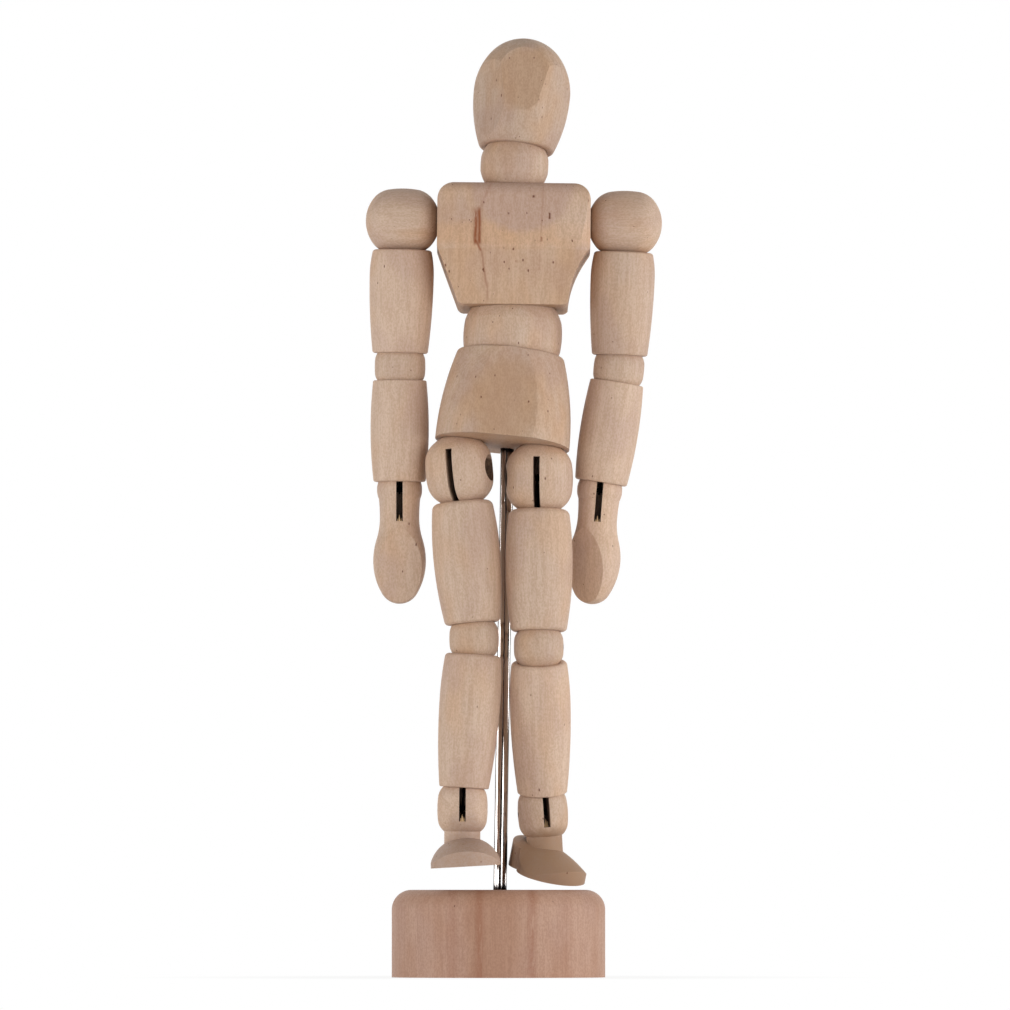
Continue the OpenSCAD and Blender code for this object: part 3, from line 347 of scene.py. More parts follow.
def make_stain_group():
    """A streak that runs up the grain, wanders a little and dies out at both ends."""
    tree, start, end = new_group(
        "Stain streak",
        [("Vector", VECTOR, None), ("Across", VALUE, 0.0), ("Lean", VALUE, 0.0), ("Width", VALUE, 1 * MM),
         ("Low", VALUE, 0.0), ("High", VALUE, 0.02), ("Tail", VALUE, 2 * MM), ("Wander", VALUE, 0.5 * MM),
         ("Seed", VALUE, 0.0)],
        ["Streak"])
    sockets = start.outputs
    split = add(tree, "ShaderNodeSeparateXYZ")
    feed(tree, sockets["Vector"], split.inputs[0])
    height = split.outputs[2]
    place = seeded(tree, sockets["Vector"], sockets["Seed"])
    sway = noise(tree, stretched(tree, place, STREAK_SWAY_LENGTH, length_ratio=1.0))
    sway = math_node(tree, "SUBTRACT", sway, 0.5)
    middle = math_node(tree, "ADD", sockets["Across"], math_node(tree, "MULTIPLY", sway, sockets["Wander"]))
    climb = math_node(tree, "SUBTRACT", height, sockets["Low"])
    middle = math_node(tree, "ADD", middle, math_node(tree, "MULTIPLY", sockets["Lean"], climb))
    off = math_node(tree, "ABSOLUTE", math_node(tree, "SUBTRACT", split.outputs[0], middle))
    line = smooth_range(tree, off, 0.0, sockets["Width"], to_low=1.0, to_high=0.0)
    tail = sockets["Tail"]
    above_foot = math_node(tree, "ADD", sockets["Low"], tail)
    below_head = math_node(tree, "SUBTRACT", sockets["High"], tail)
    foot = smooth_range(tree, height, sockets["Low"], above_foot)
    head = smooth_range(tree, height, below_head, sockets["High"], to_low=1.0, to_high=0.0)
    broken = noise(tree, stretched(tree, place, STREAK_BREAK_WIDTH, length_ratio=6.0))
    broken = smooth_range(tree, broken, low=0.24, high=0.46)
    whole = math_node(tree, "MULTIPLY", line, math_node(tree, "MULTIPLY", foot, head))
    feed(tree, math_node(tree, "MULTIPLY", whole, broken), end.inputs["Streak"])
    return tree


PATCH_EDGE_WIDTH = 3 * MM
PATCH_UNEVENNESS = 1.5


def make_patch_group():
    """A soft round patch of another tone, a little uneven at its edge."""
    tree, start, end = new_group(
        "Toned patch",
        [("Vector", VECTOR, None), ("Place", VECTOR, None), ("Reach", VECTOR, None),
         ("Softness", VALUE, 0.2)],
        ["Patch"])
    sockets = start.outputs
    off = vector_node(tree, "SUBTRACT", sockets["Vector"], sockets["Place"])
    off = vector_node(tree, "DIVIDE", off, sockets["Reach"])
    distance = add(tree, "ShaderNodeVectorMath", operation="LENGTH")
    feed(tree, off, distance.inputs[0])
    uneven = noise(tree, stretched(tree, sockets["Vector"], PATCH_EDGE_WIDTH, length_ratio=1.5))
    uneven = math_node(tree, "MULTIPLY", math_node(tree, "SUBTRACT", uneven, 0.5), sockets["Softness"])
    reach = math_node(tree, "MULTIPLY_ADD", uneven, PATCH_UNEVENNESS, distance.outputs["Value"])
    inside = math_node(tree, "SUBTRACT", 1.0, sockets["Softness"])
    outside = math_node(tree, "ADD", 1.0, sockets["Softness"])
    feed(tree, smooth_range(tree, reach, inside, outside, to_low=1.0, to_high=0.0), end.inputs["Patch"])
    return tree


def make_hollow_shade_and_wear_group():
    """Masks for painted shade in hollows and for edges that are rubbed pale."""
    tree, start, end = new_group(
        "Painted hollow shade and rubbed edges",
        [("Hollow Reach", VALUE, 4 * MM), ("Edge Width", VALUE, 0.5 * MM)],
        ["Hollow", "Edge"])
    # Painted shade: local ambient occlusion marks the hollows
    shade = add(tree, "ShaderNodeAmbientOcclusion", only_local=True, samples=8)
    feed(tree, start.outputs["Hollow Reach"], shade.inputs["Distance"])
    painted_hollow_shade = smooth_range(tree, shade.outputs["AO"], low=0.10, high=0.62, to_low=1.0, to_high=0.0)
    feed(tree, painted_hollow_shade, end.inputs["Hollow"])
    rounded = add(tree, "ShaderNodeBevel", samples=4)
    feed(tree, start.outputs["Edge Width"], rounded.inputs["Radius"])
    surface = add(tree, "ShaderNodeNewGeometry")
    dot = add(tree, "ShaderNodeVectorMath", operation="DOT_PRODUCT")
    feed(tree, rounded.outputs[0], dot.inputs[0])
    feed(tree, surface.outputs["Normal"], dot.inputs[1])
    edge = smooth_range(tree, dot.outputs["Value"], low=0.80, high=0.985, to_low=1.0, to_high=0.0)
    feed(tree, edge, end.inputs["Edge"])
    return tree


def make_steel_shade_group():
    """Painted shade for steel that lies deep between other pieces, in saw cuts and bores."""
    tree, start, end = new_group("Painted shade on steel in a cut", [("Reach", VALUE, 3 * MM)], ["Depth"])
    shade = add(tree, "ShaderNodeAmbientOcclusion", samples=8)
    feed(tree, start.outputs["Reach"], shade.inputs["Distance"])
    depth = smooth_range(tree, shade.outputs["AO"], low=0.7, high=0.98, to_low=1.0, to_high=0.0)
    feed(tree, depth, end.inputs["Depth"])
    return tree


GROUP_MAKERS = {
    "Turned grain": make_grain_group,
    "Open pores": make_pore_group,
    "Stain streak": make_stain_group,
    "Toned patch": make_patch_group,
    "Painted hollow shade and rubbed edges": make_hollow_shade_and_wear_group,
    "Painted shade on steel in a cut": make_steel_shade_group,
}


def use_group(tree, name, **inputs):
    """Places a shared node group, built once, with its own values.

    Underscores stand for the spaces in socket names.
    """
    node = add(tree, "ShaderNodeGroup")
    node.node_tree = bpy.data.node_groups.get(name) or GROUP_MAKERS[name]()
    for key, value in inputs.items():
        feed(tree, value, node.inputs[key.replace("_", " ")])
    return node.outputs


def new_material(name):
    """A material with a bare Principled BSDF."""
    material = bpy.data.materials.new(name)
    material.use_nodes = True
    tree = material.node_tree
    tree.nodes.clear()
    shader = add(tree, "ShaderNodeBsdfPrincipled")
    output = add(tree, "ShaderNodeOutputMaterial")
    tree.links.new(shader.outputs[0], output.inputs["Surface"])
    return material, tree, shader


def grain_frame(tree, centre, axis):
    """Object coordinates turned so that Z runs along the grain from the piece's middle."""
    coords = add(tree, "ShaderNodeTexCoord")
    mapping = add(tree, "ShaderNodeMapping", vector_type="TEXTURE")
    feed(tree, coords.outputs["Object"], mapping.inputs["Vector"])
    mapping.inputs["Location"].default_value = centre
    mapping.inputs["Rotation"].default_value = UP.rotation_difference(axis).to_euler()
    return mapping.outputs["Vector"]


ROSY_SHARE = 0.6
FIBRE_SHARE = 0.37
RUBBED_SHARE = 0.2
PORE_SHADE = 0.85
HOLLOW_SHADE = 0.94
ROUGHNESS_SWING = 0.06
FIBRE_RELIEF = 0.35
BUMP_STRENGTH = 0.22
BUMP_DEPTH = 0.05 * MM


def toned(colour, tone):
    """A colour made lighter or darker."""
    return tuple(min(value * tone, 1.0) for value in colour)


def streak(strength, shade, across, width, low, high, lean=0.0, tail=2.0, wander=0.5, seed=3.0):
    """A streak for wood_material: its strength and colour, then its place in millimetres."""
    lengths = dict(Across=across, Width=width, Low=low, High=high, Tail=tail, Wander=wander)
    sockets = {name: size * MM for name, size in lengths.items()}
    return strength, shade, dict(sockets, Lean=lean, Seed=seed)


def patch(strength, shade, place, reach, softness):
    """A toned patch for wood_material: its strength and colour, then its place in millimetres."""
    return strength, shade, dict(Place=Vector(place) * MM, Reach=Vector(reach) * MM, Softness=softness)


def laid_over(tree, mask, share, colour, shade):
    """A colour with a share of another laid over it where the mask says."""
    return mix_colour(tree, math_node(tree, "MULTIPLY", mask, share), colour, shade)


def wood_material(name, palette, centre, axis, seed, warmth=0.5, tone=1.0, streaks=(), patches=(),
                  pore_share=None, rings=0.1, gloss=0.45):
    """Sanded wood whose grain follows one piece."""
    wood = props().wood
    material, tree, shader = new_material(name)
    vector = grain_frame(tree, centre, axis)
    grain = use_group(tree, "Turned grain", Vector=vector, Seed=seed,
                      Fibre_Width=wood.fibre_width, Ring_Width=wood.ring_width)
    pores = use_group(tree, "Open pores", Vector=vector, Seed=seed, Spacing=wood.pore_spacing,
                      Share=wood.pore_share if pore_share is None else pore_share)["Pores"]
    hollow_shade_and_wear = use_group(tree, "Painted hollow shade and rubbed edges")
    pale, fibre = toned(palette.pale, tone), toned(palette.fibre, tone)

    colour = laid_over(tree, grain["Warm Cloud"], warmth, pale, toned(palette.warm, tone))
    colour = laid_over(tree, grain["Rosy Cloud"], ROSY_SHARE, colour, toned(palette.rosy, tone))
    for strength, shade, sockets in patches:
        mask = use_group(tree, "Toned patch", Vector=vector, **sockets)["Patch"]
        colour = laid_over(tree, mask, strength, colour, shade)
    colour = laid_over(tree, grain["Rings"], rings, colour, fibre)
    colour = laid_over(tree, grain["Fibre"], FIBRE_SHARE, colour, fibre)
    for strength, shade, sockets in streaks:
        mask = use_group(tree, "Stain streak", Vector=vector, **sockets)["Streak"]
        colour = laid_over(tree, mask, strength, colour, shade)
    colour = laid_over(tree, hollow_shade_and_wear["Edge"], RUBBED_SHARE, colour, pale)
    colour = laid_over(tree, pores, PORE_SHADE, colour, tuple(wood.pore))
    # Painted shade: hollows darkened towards the recess shade colour
    colour = laid_over(tree, hollow_shade_and_wear["Hollow"], HOLLOW_SHADE, colour, tuple(palette.recess_shade))
    feed(tree, colour, shader.inputs["Base Color"])

    rough = smooth_range(tree, grain["Fibre"], 0.0, 1.0,
                         wood.roughness - ROUGHNESS_SWING, wood.roughness + ROUGHNESS_SWING)
    feed(tree, rough, shader.inputs["Roughness"])
    shader.inputs["Specular IOR Level"].default_value = gloss

    height = math_node(tree, "SUBTRACT", math_node(tree, "MULTIPLY", grain["Fibre"], FIBRE_RELIEF), pores)
    bump = add(tree, "ShaderNodeBump")
    bump.inputs["Strength"].default_value = BUMP_STRENGTH
    bump.inputs["Distance"].default_value = BUMP_DEPTH
    feed(tree, height, bump.inputs["Height"])
    feed(tree, bump.outputs[0], shader.inputs["Normal"])
    return material


def middle_of(node):
    """Middle of a CAD node's box."""
    low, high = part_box(node)
    return (low + high) / 2


def dress(node, material):
    """Gives a CAD node its material."""
    NODES[node].data.materials.clear()
    NODES[node].data.materials.append(material)


def dress_wood(node, axis, seed, **looks):
    """Figure wood on one CAD node, grain along the axis."""
    grain_axis = axis.normalized()
    dress(node, wood_material(f"{node}_wood", props().wood, middle_of(node), grain_axis, seed, **looks))


# A reach, in millimetres, past the sides of any piece
WHOLE = 90

# The two sides are turned from different boards
ARM_SEED = {"right": 11.0, "left": 17.5}
UPPER_ARM_TONE = {"right": 1.07, "left": 0.97}
FOREARM_TONE = {"right": 1.04, "left": 1.06}
FOREARM_WARMTH = {"right": 0.35, "left": 0.2}
# Painted light: the left hand is made lighter against the shade on its palm face
HAND_TONE_AND_LIGHT = {"right": 1.02, "left": 1.1}
HAND_WARMTH = {"right": 0.5, "left": 0.3}
LEG_SEED = {"right": 31.0, "left": 38.3}
SHIN_TONE = {"right": 1.04, "left": 1.09}
FOOT_TONE = {"right": 1.04, "left": 0.97}
INWARDS = {"right": 1, "left": -1}
HIP_BORE_INSET = 2.4 * MM


class FIGURE_OT_torso(bpy.types.Operator):
    """Dress the head, the neck bead, the chest, the waist bead and the pelvis"""
    bl_idname = "figure.torso"
    bl_label = "Torso and head"

    def execute(self, context):
        wood = props().wood
        spine = PLACES["neck_nod"] - PLACES["waist_bow"]
        red, dark = tuple(wood.stain), tuple(wood.pore)
        fleck = dict(tail=0.5, wander=0.2, seed=5.0)
        # Strength and colour, then across, width, foot and head from the chest's middle
        streaks = (
            streak(0.45, red, -11.8, 2.4, -1.5, 12.6),
            streak(0.95, red, -12.5, 0.8, -1.5, 11, lean=0.02),
            streak(0.95, red, -11.0, 0.8, -1.5, 12, lean=-0.02),
            streak(0.80, red, -10.3, 0.8, -3.2, 1.2, lean=-0.5, tail=0.8, wander=0.3),
            streak(0.50, red, -8.6, 0.5, -15, -1.5, lean=-0.14),
            streak(0.40, red, -8.3, 0.5, -20, -12, lean=-0.01),
            streak(0.25, red, -11.0, 0.9, 11, 21, lean=0.4),
            streak(0.20, red, 8.2, 0.5, -10, 20, lean=0.04),
            streak(0.95, dark, 11.4, 0.55, 7.6, 10.2, **fleck),
            streak(0.90, dark, 6.2, 0.7, 14.6, 15.9, **fleck),
            streak(0.70, dark, -1.8, 0.5, 9.0, 10.2, **fleck),
            streak(0.75, red, 8.9, 0.5, 0.2, 2.2, **fleck),
            streak(0.60, red, 0.8, 0.5, -6.6, -5.4, **fleck),
        )
        # Painted highlight: a lighter warm band just over the chest's ridge
        ridge_highlight = patch(0.50, toned(wood.warm, 1.16), (0, -14, 3), (30, 30, 4.5), 0.35)
        # Painted light: the chest's right flank made paler
        lit_side = patch(0.60, toned(wood.pale, 1.12), (19, -14, 9), (6, 30, 9), 0.4)
        # Painted shade: warmer and a little darker below the ridge, which draws the ridge line
        shade_below_ridge = patch(0.30, toned(wood.warm, 0.9), (0, 0, -30.8), (WHOLE, WHOLE, 30), 0.012)
        # Painted shade: the chest's underside darkened
        underside_shade = patch(0.80, toned(wood.fibre, 0.5), (0, 0, -39.5), (WHOLE, WHOLE, 20), 0.02)
        grey_breast = patch(0.90, toned(wood.rosy, 1.05), (2.6, -14, 19), (16.5, 30, 15.5), 0.12)
        dress_wood("chest", spine, seed=1.3, warmth=0.5, tone=1.02, gloss=0.12, streaks=streaks,
                   patches=(ridge_highlight, lit_side, shade_below_ridge, underside_shade, grey_breast), pore_share=0.7)
        # Painted shade: a darker warm oval on the front flat of the head
        brow_shade = patch(0.6, toned(wood.warm, 0.86), (0.5, -12, 3), (9, 20, 11), 0.25)
        dress_wood("head", middle_of("head") - PLACES["neck_nod"], seed=4.1, warmth=0.6, tone=0.87,
                   patches=(brow_shade,), pore_share=0.7)
        dress_wood("neck_bead", UP, seed=5.7, warmth=0.7, tone=0.94)
        dress_wood("waist_bead", UP, seed=7.2, warmth=0.6, tone=0.97)
        front = patch(0.6, toned(wood.warm, 0.8), (0.6, -14, -2), (11.5, 25, 15), 0.25)
        dress_wood("pelvis", AXES["figure_turn"], seed=9.4, warmth=0.6, tone=0.94, gloss=0.25,
                   patches=(front,), pore_share=0.5)
        return {"FINISHED"}


class FIGURE_OT_arms(bpy.types.Operator):
    """Dress the shoulder balls, the arms, the elbow beads and the hands"""
    bl_idname = "figure.arms"
    bl_label = "Arms and hands"

    def execute(self, context):
        for side in SIDES:
            seed = ARM_SEED[side]
            shoulder = PLACES[f"{side}_shoulder_swing"]
            elbow = PLACES[f"{side}_elbow_bend_upper"]
            wrist = PLACES[f"{side}_wrist_twist"]
            dress_wood(f"{side}_shoulder_ball", ACROSS, seed, warmth=0.6)
            dress_wood(f"{side}_upper_arm", shoulder - elbow, seed + 1.1, warmth=0.35,
                       tone=UPPER_ARM_TONE[side], pore_share=0.15)
            dress_wood(f"{side}_elbow_bead", shoulder - elbow, seed + 2.2, warmth=0.6, tone=0.97)
            dress_wood(f"{side}_forearm", elbow - wrist, seed + 3.3, warmth=FOREARM_WARMTH[side],
                       tone=FOREARM_TONE[side], pore_share=0.2)
            dress_wood(f"{side}_hand", wrist - middle_of(f"{side}_hand"), seed + 4.4,
                       warmth=HAND_WARMTH[side], tone=HAND_TONE_AND_LIGHT[side], pore_share=0.3)
        return {"FINISHED"}


class FIGURE_OT_legs(bpy.types.Operator):
    """Dress the hip balls, the legs, the knee beads and the feet"""
    bl_idname = "figure.legs"
    bl_label = "Legs and feet"

    def execute(self, context):
        wood = props().wood
        # Painted shade on the up-facing tops of the feet
        painted_instep_shade = {"right": toned(wood.rosy, 0.74), "left": toned(wood.fibre, 0.72)}
        for side in SIDES:
            seed = LEG_SEED[side]
            hip = PLACES[f"{side}_hip_bend"]
            knee = PLACES[f"{side}_knee_bend_upper"]
            ankle = PLACES[f"{side}_ankle_twist"]
            low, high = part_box(f"{side}_hip_ball")
            inner = INWARDS[side] * ((high.x - low.x) / 2 - HIP_BORE_INSET) / MM
            # Painted shade: a dark disc over the bore on the inner side of the hip ball
            bore_shade = patch(0.9, tuple(wood.recess_shade), (inner, 0, 0), (4.5, 4.2, 4.2), 0.1)
            dress_wood(f"{side}_hip_ball", UP, seed, warmth=0.5, patches=(bore_shade,))
            dress_wood(f"{side}_thigh", hip - knee, seed + 1.3, warmth=0.4, pore_share=0.2)
            dress_wood(f"{side}_knee_bead", hip - knee, seed + 2.6, warmth=0.6, tone=0.94)
            dress_wood(f"{side}_shin", knee - ankle, seed + 3.9, warmth=0.45, tone=SHIN_TONE[side],
                       pore_share=0.25)
            # Painted shade: darkens the half of the foot away from the ankle, where its top faces up
            instep_shade_patch = patch(0.75, painted_instep_shade[side], (0, 0, -20), (WHOLE, WHOLE, 20.5), 0.12)
            dress_wood(f"{side}_foot", ankle - middle_of(f"{side}_foot"), seed + 5.2, warmth=0.6,
                       tone=FOOT_TONE[side], patches=(instep_shade_patch,), pore_share=0.4)
        return {"FINISHED"}


class FIGURE_OT_base(bpy.types.Operator):
    """Dress the base in its redder wood with upright streaks"""
    bl_idname = "figure.base"
    bl_label = "Base"

    def execute(self, context):
        low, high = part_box("base")
        # From under the block to over it
        ends = ((low.z - high.z) / MM, high.z / MM)
        base = props().base
        red = tuple(base.stain)
        streaks = (
            streak(0.30, red, -14.7, 2.6, *ends, wander=1.5, seed=2.0),
            streak(0.50, red, -6.0, 2.2, *ends, wander=1.2, seed=4.0),
            streak(0.50, red, 10.8, 2.4, *ends, wander=1.3, seed=6.0),
            streak(0.15, red, 22.0, 3.0, *ends, wander=2.0, seed=8.0),
        )
        band = patch(0.4, toned(base.warm, 0.95), (-1, 0, 0), (10, WHOLE, WHOLE), 0.4)
        dress("base", wood_material(
            "base_wood_grain", base, middle_of("base"), UP, seed=2.4, warmth=0.5, tone=1.0,
            streaks=streaks, patches=(band,), pore_share=0.05, rings=0.04, gloss=0.7))
        return {"FINISHED"}


SCRATCH_WIDTH = 0.12 * MM
SCRATCH_TONE = 0.72
SCRATCH_BUMP = 0.2
SCRATCH_DEPTH = 0.01 * MM
SMEAR_WIDTH = 6 * MM
SMEAR_SWING = 0.12


def steel_material(name, colour, roughness, brushed):
    """Drawn steel: a bright face with fine lengthwise scratches and faint smears, and painted shade where it lies
    deep in a cut.
    """
    material, tree, shader = new_material(name)
    coords = add(tree, "ShaderNodeTexCoord").outputs["Object"]
    lines = noise(tree, stretched(tree, coords, SCRATCH_WIDTH, length_ratio=60.0), roughness=0.6)
    smears = noise(tree, stretched(tree, coords, SMEAR_WIDTH, length_ratio=3.0))
    drawn = laid_over(tree, lines, brushed, tuple(colour), toned(colour, SCRATCH_TONE))
    # Painted shade: steel deep in a cut darkened towards the shaded steel colour
    depth = use_group(tree, "Painted shade on steel in a cut")["Depth"]
    feed(tree, mix_colour(tree, depth, drawn, tuple(props().steel.shade)), shader.inputs["Base Color"])
    shader.inputs["Metallic"].default_value = 1.0
    rough = math_node(tree, "MULTIPLY_ADD", smears, SMEAR_SWING, roughness - SMEAR_SWING / 2)
    feed(tree, rough, shader.inputs["Roughness"])
    bump = add(tree, "ShaderNodeBump")
    bump.inputs["Strength"].default_value = SCRATCH_BUMP
    bump.inputs["Distance"].default_value = SCRATCH_DEPTH
    feed(tree, lines, bump.inputs["Height"])
    feed(tree, bump.outputs[0], shader.inputs["Normal"])
    return material


class FIGURE_OT_steel(bpy.types.Operator):
    """Dress the rod and the cross pins"""
    bl_idname = "figure.steel"
    bl_label = "Rod and pins"

    def execute(self, context):
        steel = props().steel
        dress("rod", steel_material("bright_rod", steel.rod, roughness=0.1, brushed=0.2))
        pin_wire = steel_material("pin_wire", steel.pin, roughness=0.34, brushed=0.6)
        for node in NODES:
            if node.endswith("_pin"):
                dress(node, pin_wire)
        return {"FINISHED"}


MERGE_REACH = 0.001 * MM
WIRE_SMOOTHING = 2


class FIGURE_OT_springs(bpy.types.Operator):
    """Replace each faceted spring by one of round wire"""
    bl_idname = "figure.springs"
    bl_label = "Springs"

    def execute(self, context):
        wire = steel_material("spring_wire", props().steel.spring, roughness=0.38, brushed=0.5)
        for node in [name for name in NODES if name.endswith("_spring")]:
            shape = bmesh.new()
            shape.from_mesh(NODES[node].data)
            bmesh.ops.remove_doubles(shape, verts=shape.verts, dist=MERGE_REACH)
            for face in shape.faces:
                face.smooth = True
            mesh = bpy.data.meshes.new(f"{node}_wire")
            shape.to_mesh(mesh)
            shape.free()
            mesh.materials.append(wire)
            piece = bpy.data.objects.new(f"{node}_wire", mesh)
            context.scene.collection.objects.link(piece)
            rounder = piece.modifiers.new("round_wire", "SUBSURF")
            rounder.levels = WIRE_SMOOTHING
            rounder.render_levels = WIRE_SMOOTHING
            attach(piece, BODY_OF[node])
            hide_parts(node)
        return {"FINISHED"}


SPLINTER_BED = 0.4 * MM
SPLINTER_INSET = 0.55 * MM
SPLINTER_TIP = 0.06 * MM
SPLINTER_SIDES = 6
SPLINTER_FIBRE = 0.2 * MM
OUTSIDE_REACH = 30 * MM

# From the joint down to the end of the saw cut
HAND_DROP = 10.3 * MM
FOOT_DROP = 4.2 * MM

# Offset across the cut, radius and height of each sliver in millimetres
HAND_TEETH = ((0.05, 0.36, 2.0), (-0.55, 0.22, 0.9), (0.6, 0.2, 0.8))
FOOT_TEETH = ((0.05, 0.5, 2.2), (-0.5, 0.3, 1.5), (0.55, 0.26, 1.1))


class FIGURE_OT_splinters(bpy.types.Operator):
    """Stand torn splinters in the ends of the saw cuts of the hands and feet"""
    bl_idname = "figure.splinters"
    bl_label = "Splinters"

    def execute(self, context):
        material, tree, shader = new_material("torn_splinter")
        coords = add(tree, "ShaderNodeTexCoord").outputs["Object"]
        torn = noise(tree, stretched(tree, coords, SPLINTER_FIBRE, length_ratio=8.0))
        wood = props().wood
        colour = mix_colour(tree, torn, tuple(wood.splinter), tuple(wood.warm))
        feed(tree, colour, shader.inputs["Base Color"])
        shader.inputs["Roughness"].default_value = 0.8
        for side in SIDES:
            self.teeth(context, f"{side}_hand", f"{side}_wrist", HAND_DROP, HAND_TEETH, material)
            self.teeth(context, f"{side}_foot", f"{side}_ankle", FOOT_DROP, FOOT_TEETH, material)
        return {"FINISHED"}

    def teeth(self, context, node, joint, drop, teeth, material):
        """Pointed slivers across the end of one cut, rooted in the wood behind its front edge."""
        across = AXES[f"{joint}_bend"].normalized()
        forward = across.cross(UP).normalized()
        forward = forward if forward.y < 0 else -forward
        up = across.cross(forward)
        up = up if up.z > 0 else -up
        floor = PLACES[f"{joint}_twist"] - up * drop
        outside = floor - up * SPLINTER_BED + forward * OUTSIDE_REACH
        surface = BVHTree.FromObject(NODES[node], context.evaluated_depsgraph_get())
        hit = surface.ray_cast(outside, -forward)[0]
        if hit is None:
            raise RuntimeError(f"no wood found under the saw cut of {node}")
        root = hit - forward * SPLINTER_INSET
        turn = Matrix((across, up.cross(across), up)).transposed().to_4x4()
        shape = bmesh.new()
        for offset, radius, height in teeth:
            length = height * MM + SPLINTER_BED
            made = bmesh.ops.create_cone(
                shape, cap_ends=True, segments=SPLINTER_SIDES,
                radius1=radius * MM, radius2=SPLINTER_TIP, depth=length)
            place = Matrix.Translation(root + across * offset * MM + up * length / 2)
            bmesh.ops.transform(shape, verts=made["verts"], matrix=place @ turn)
        mesh = bpy.data.meshes.new(f"{node}_splinters")
        shape.to_mesh(mesh)
        shape.free()
        mesh.materials.append(material)
        piece = bpy.data.objects.new(f"{node}_splinters", mesh)
        context.scene.collection.objects.link(piece)
        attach(piece, BODY_OF[node])


def aim(thing, target):
    """Turns a lamp or camera towards a point."""
    thing.rotation_euler = (Vector(target) - thing.location).to_track_quat("-Z", "Y").to_euler()


def seen_rays(tree):
    """One for rays from the camera, straight or by way of a mirror."""
    rays = add(tree, "ShaderNodeLightPath").outputs
    seen = math_node(tree, "MAXIMUM", rays["Is Camera Ray"], rays["Is Glossy Ray"])
    return math_node(tree, "MAXIMUM", seen, rays["Is Transmission Ray"])


FLOOR_RADIUS = 12.0
SHADOW_REACH = 0.045
SHADOW_WHITE = 0.88

# Strength of the soft light, its slopes along x, y and z, and its least
SOFT_LEVEL = 0.73
SOFT_SLOPES = (0.14, 0.25, -0.5)
SOFT_LEAST = 0.1
PLAIN_WHITE = (1, 1, 1, 1)

LAMP_SIZE = (1.0, 0.4)

# Place in metres and power in watts
LAMPS = {
    "front_right": ((0.9, -1.28, 0.2), 7.8),
    "front_left": ((-0.9, -1.28, 0.2), 4.1),
    "right_side": ((1.56, 0.0, 0.2), 7.5),
    "left_side": ((-1.5, -0.1, 0.2), 6.5),
}

CARD_COLOUR = linear(36, 22, 15)

# Place on the floor, then width and height, in metres
DARK_CARDS = {
    "front_card": ((-0.04, -0.5), (0.42, 0.4)),
    "right_card": ((0.54, -0.25), (0.84, 0.4)),
    "left_back_card": ((-2.4, 0.8), (2.6, 2.6)),
    "right_back_card": ((2.2, 1.3), (1.5, 2.6)),
}

SENSOR_WIDTH = 36.0
CLIP_END = 50.0


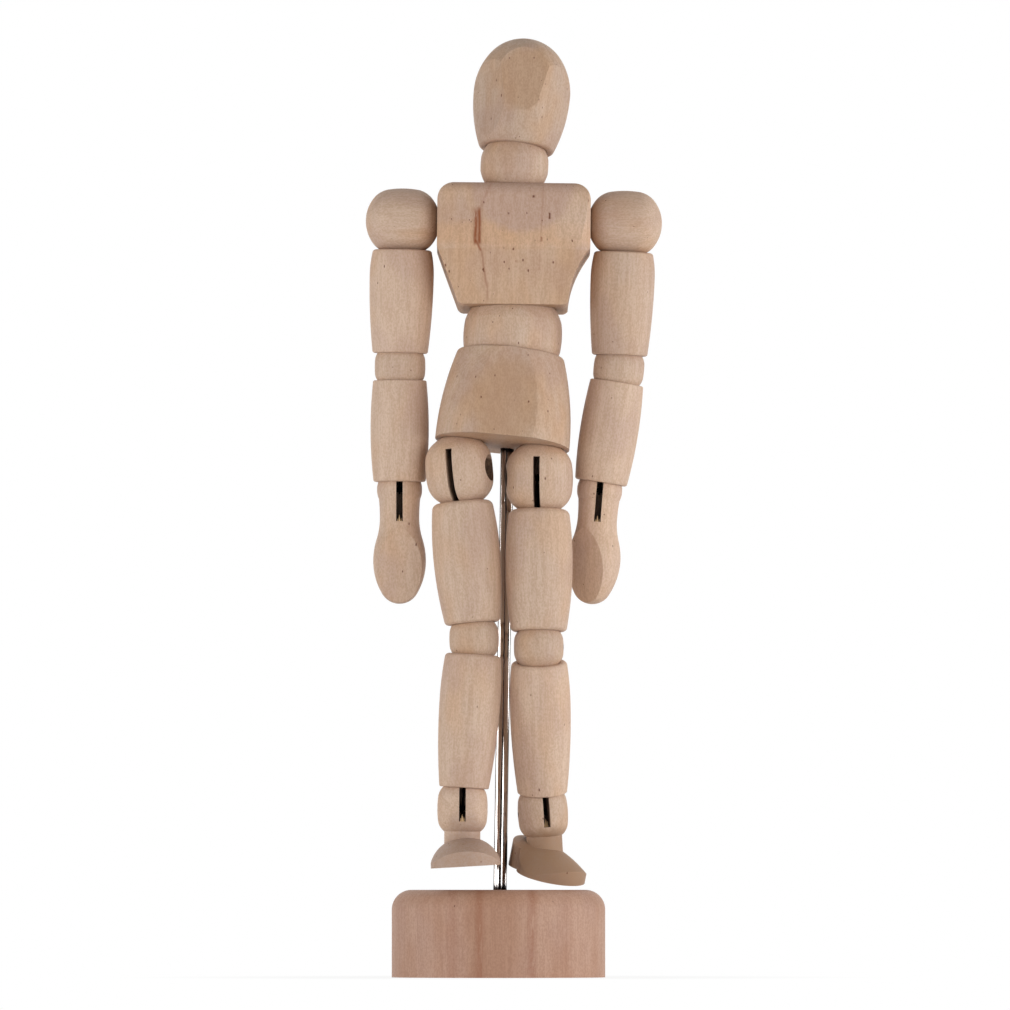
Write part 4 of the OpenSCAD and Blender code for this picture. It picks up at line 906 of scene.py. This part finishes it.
class FIGURE_OT_stage(bpy.types.Operator):
    """Set the floor, the lamps, the white surroundings and the camera"""
    bl_idname = "figure.stage"
    bl_label = "Studio"

    def execute(self, context):
        stage = props().stage
        self.floor(context, stage)
        self.surroundings(context)
        target = Vector((stage.aim_across, 0, stage.aim_height))
        for name, (place, power) in LAMPS.items():
            self.lamp(context, name, place, power, target)
        dark, _, shader = new_material("dark_card")
        shader.inputs["Base Color"].default_value = (*CARD_COLOUR, 1)
        shader.inputs["Roughness"].default_value = 0.9
        for name, (place, size) in DARK_CARDS.items():
            self.dark_card(context, name, place, size, dark)
        self.camera(context, stage, target)
        context.scene.view_settings.view_transform = "Standard"
        return {"FINISHED"}

    def floor(self, context, stage):
        """A large pale floor that reads as white to the camera and keeps the shadow."""
        shape = bmesh.new()
        bmesh.ops.create_circle(shape, cap_ends=True, segments=64, radius=FLOOR_RADIUS)
        mesh = bpy.data.meshes.new("studio_floor")
        shape.to_mesh(mesh)
        shape.free()
        floor = bpy.data.objects.new("studio_floor", mesh)
        context.scene.collection.objects.link(floor)
        material, tree, shader = new_material("studio_floor")
        shader.inputs["Base Color"].default_value = (*stage.floor, 1)
        shader.inputs["Roughness"].default_value = 0.9
        shader.inputs["Specular IOR Level"].default_value = 0.1
        glow = add(tree, "ShaderNodeEmission")
        distance = add(tree, "ShaderNodeVectorMath", operation="LENGTH")
        feed(tree, add(tree, "ShaderNodeTexCoord").outputs["Object"], distance.inputs[0])
        white = smooth_range(tree, distance.outputs["Value"], SHADOW_REACH, 3 * SHADOW_REACH,
                             to_low=SHADOW_WHITE)
        blend = add(tree, "ShaderNodeMixShader")
        feed(tree, math_node(tree, "MULTIPLY", seen_rays(tree), white), blend.inputs[0])
        tree.links.new(shader.outputs[0], blend.inputs[1])
        tree.links.new(glow.outputs[0], blend.inputs[2])
        output = next(node for node in tree.nodes if node.type == "OUTPUT_MATERIAL")
        tree.links.new(blend.outputs[0], output.inputs["Surface"])
        mesh.materials.append(material)

    def surroundings(self, context):
        """White to the camera and in reflections, dim soft light for the rest."""
        world = bpy.data.worlds.new("studio")
        context.scene.world = world
        world.use_nodes = True
        tree = world.node_tree
        tree.nodes.clear()
        seen_light = add(tree, "ShaderNodeBackground")
        soft_light = add(tree, "ShaderNodeBackground")
        direction = add(tree, "ShaderNodeTexCoord").outputs["Generated"]
        split = add(tree, "ShaderNodeSeparateXYZ")
        feed(tree, direction, split.inputs[0])
        level = SOFT_LEVEL
        for part, slope in zip(split.outputs, SOFT_SLOPES):
            level = math_node(tree, "MULTIPLY_ADD", part, slope, level)
        feed(tree, math_node(tree, "MAXIMUM", level, SOFT_LEAST), soft_light.inputs["Strength"])
        seen_light.inputs["Color"].default_value = PLAIN_WHITE
        soft_light.inputs["Color"].default_value = PLAIN_WHITE
        blend = add(tree, "ShaderNodeMixShader")
        feed(tree, seen_rays(tree), blend.inputs[0])
        tree.links.new(soft_light.outputs[0], blend.inputs[1])
        tree.links.new(seen_light.outputs[0], blend.inputs[2])
        output = add(tree, "ShaderNodeOutputWorld")
        tree.links.new(blend.outputs[0], output.inputs["Surface"])

    def dark_card(self, context, name, place, size, material):
        """A dark upright card seen in reflections alone: it draws the dark lines in the rod."""
        shape = bmesh.new()
        bmesh.ops.create_grid(shape, x_segments=1, y_segments=1, size=0.5)
        across, height = size
        facing = Vector((*place, 0)).to_track_quat("Z", "Y").to_matrix().to_4x4()
        stand = Matrix.Translation((*place, height / 2)) @ facing
        stretch = Matrix.Diagonal((across, height, 1, 1))
        bmesh.ops.transform(shape, verts=shape.verts, matrix=stand @ stretch)
        mesh = bpy.data.meshes.new(name)
        shape.to_mesh(mesh)
        shape.free()
        mesh.materials.append(material)
        card = bpy.data.objects.new(name, mesh)
        card.visible_camera = False
        card.visible_diffuse = False
        card.visible_shadow = False
        context.scene.collection.objects.link(card)

    def lamp(self, context, name, place, power, target):
        """A long soft box that stands low."""
        data = bpy.data.lights.new(name, "AREA")
        data.shape = "RECTANGLE"
        data.size, data.size_y = LAMP_SIZE
        data.energy = power
        lamp = bpy.data.objects.new(name, data)
        lamp.location = place
        aim(lamp, target)
        context.scene.collection.objects.link(lamp)

    def camera(self, context, stage, target):
        """A long lens at the photographed angle."""
        data = bpy.data.cameras.new("view")
        camera = bpy.data.objects.new("view", data)
        camera.location = (stage.aim_across, -stage.distance, stage.eye_height)
        reach = (target - camera.location).length
        data.sensor_width = SENSOR_WIDTH
        data.lens = data.sensor_width * reach / stage.view_width
        data.clip_end = CLIP_END
        aim(camera, target)
        context.scene.collection.objects.link(camera)
        context.scene.camera = camera


OPERATORS = (FIGURE_OT_torso, FIGURE_OT_arms, FIGURE_OT_legs, FIGURE_OT_base, FIGURE_OT_steel,
             FIGURE_OT_springs, FIGURE_OT_splinters, FIGURE_OT_stage)


class FIGURE_PT_looks(bpy.types.Panel):
    """The figure's settings and steps"""
    bl_label = "Figure"
    bl_idname = "FIGURE_PT_looks"
    bl_space_type = "VIEW_3D"
    bl_region_type = "UI"
    bl_category = "Figure"

    def draw(self, context):
        settings = context.scene.figure_looks
        for group in (settings.wood, settings.base, settings.steel, settings.stage):
            box = self.layout.box()
            for name in group.__annotations__:
                box.prop(group, name)
        for operator in OPERATORS:
            self.layout.operator(operator.bl_idname)


CLASSES = (FigureWoodProps, BaseWoodProps, SteelProps, StageProps, FigureLooks, *OPERATORS, FIGURE_PT_looks)


def register():
    """Makes the settings, the steps and the panel known."""
    for item in CLASSES:
        bpy.utils.register_class(item)
    bpy.types.Scene.figure_looks = bpy.props.PointerProperty(type=FigureLooks)


def unregister():
    """Takes them out again."""
    del bpy.types.Scene.figure_looks
    for item in reversed(CLASSES):
        bpy.utils.unregister_class(item)


def main():
    """Dresses the figure step by step."""
    register()
    bpy.ops.figure.torso()
    bpy.ops.figure.arms()
    bpy.ops.figure.legs()
    bpy.ops.figure.base()
    bpy.ops.figure.steel()
    bpy.ops.figure.springs()
    bpy.ops.figure.splinters()
    bpy.ops.figure.stage()


if __name__ == "__main__":
    main()
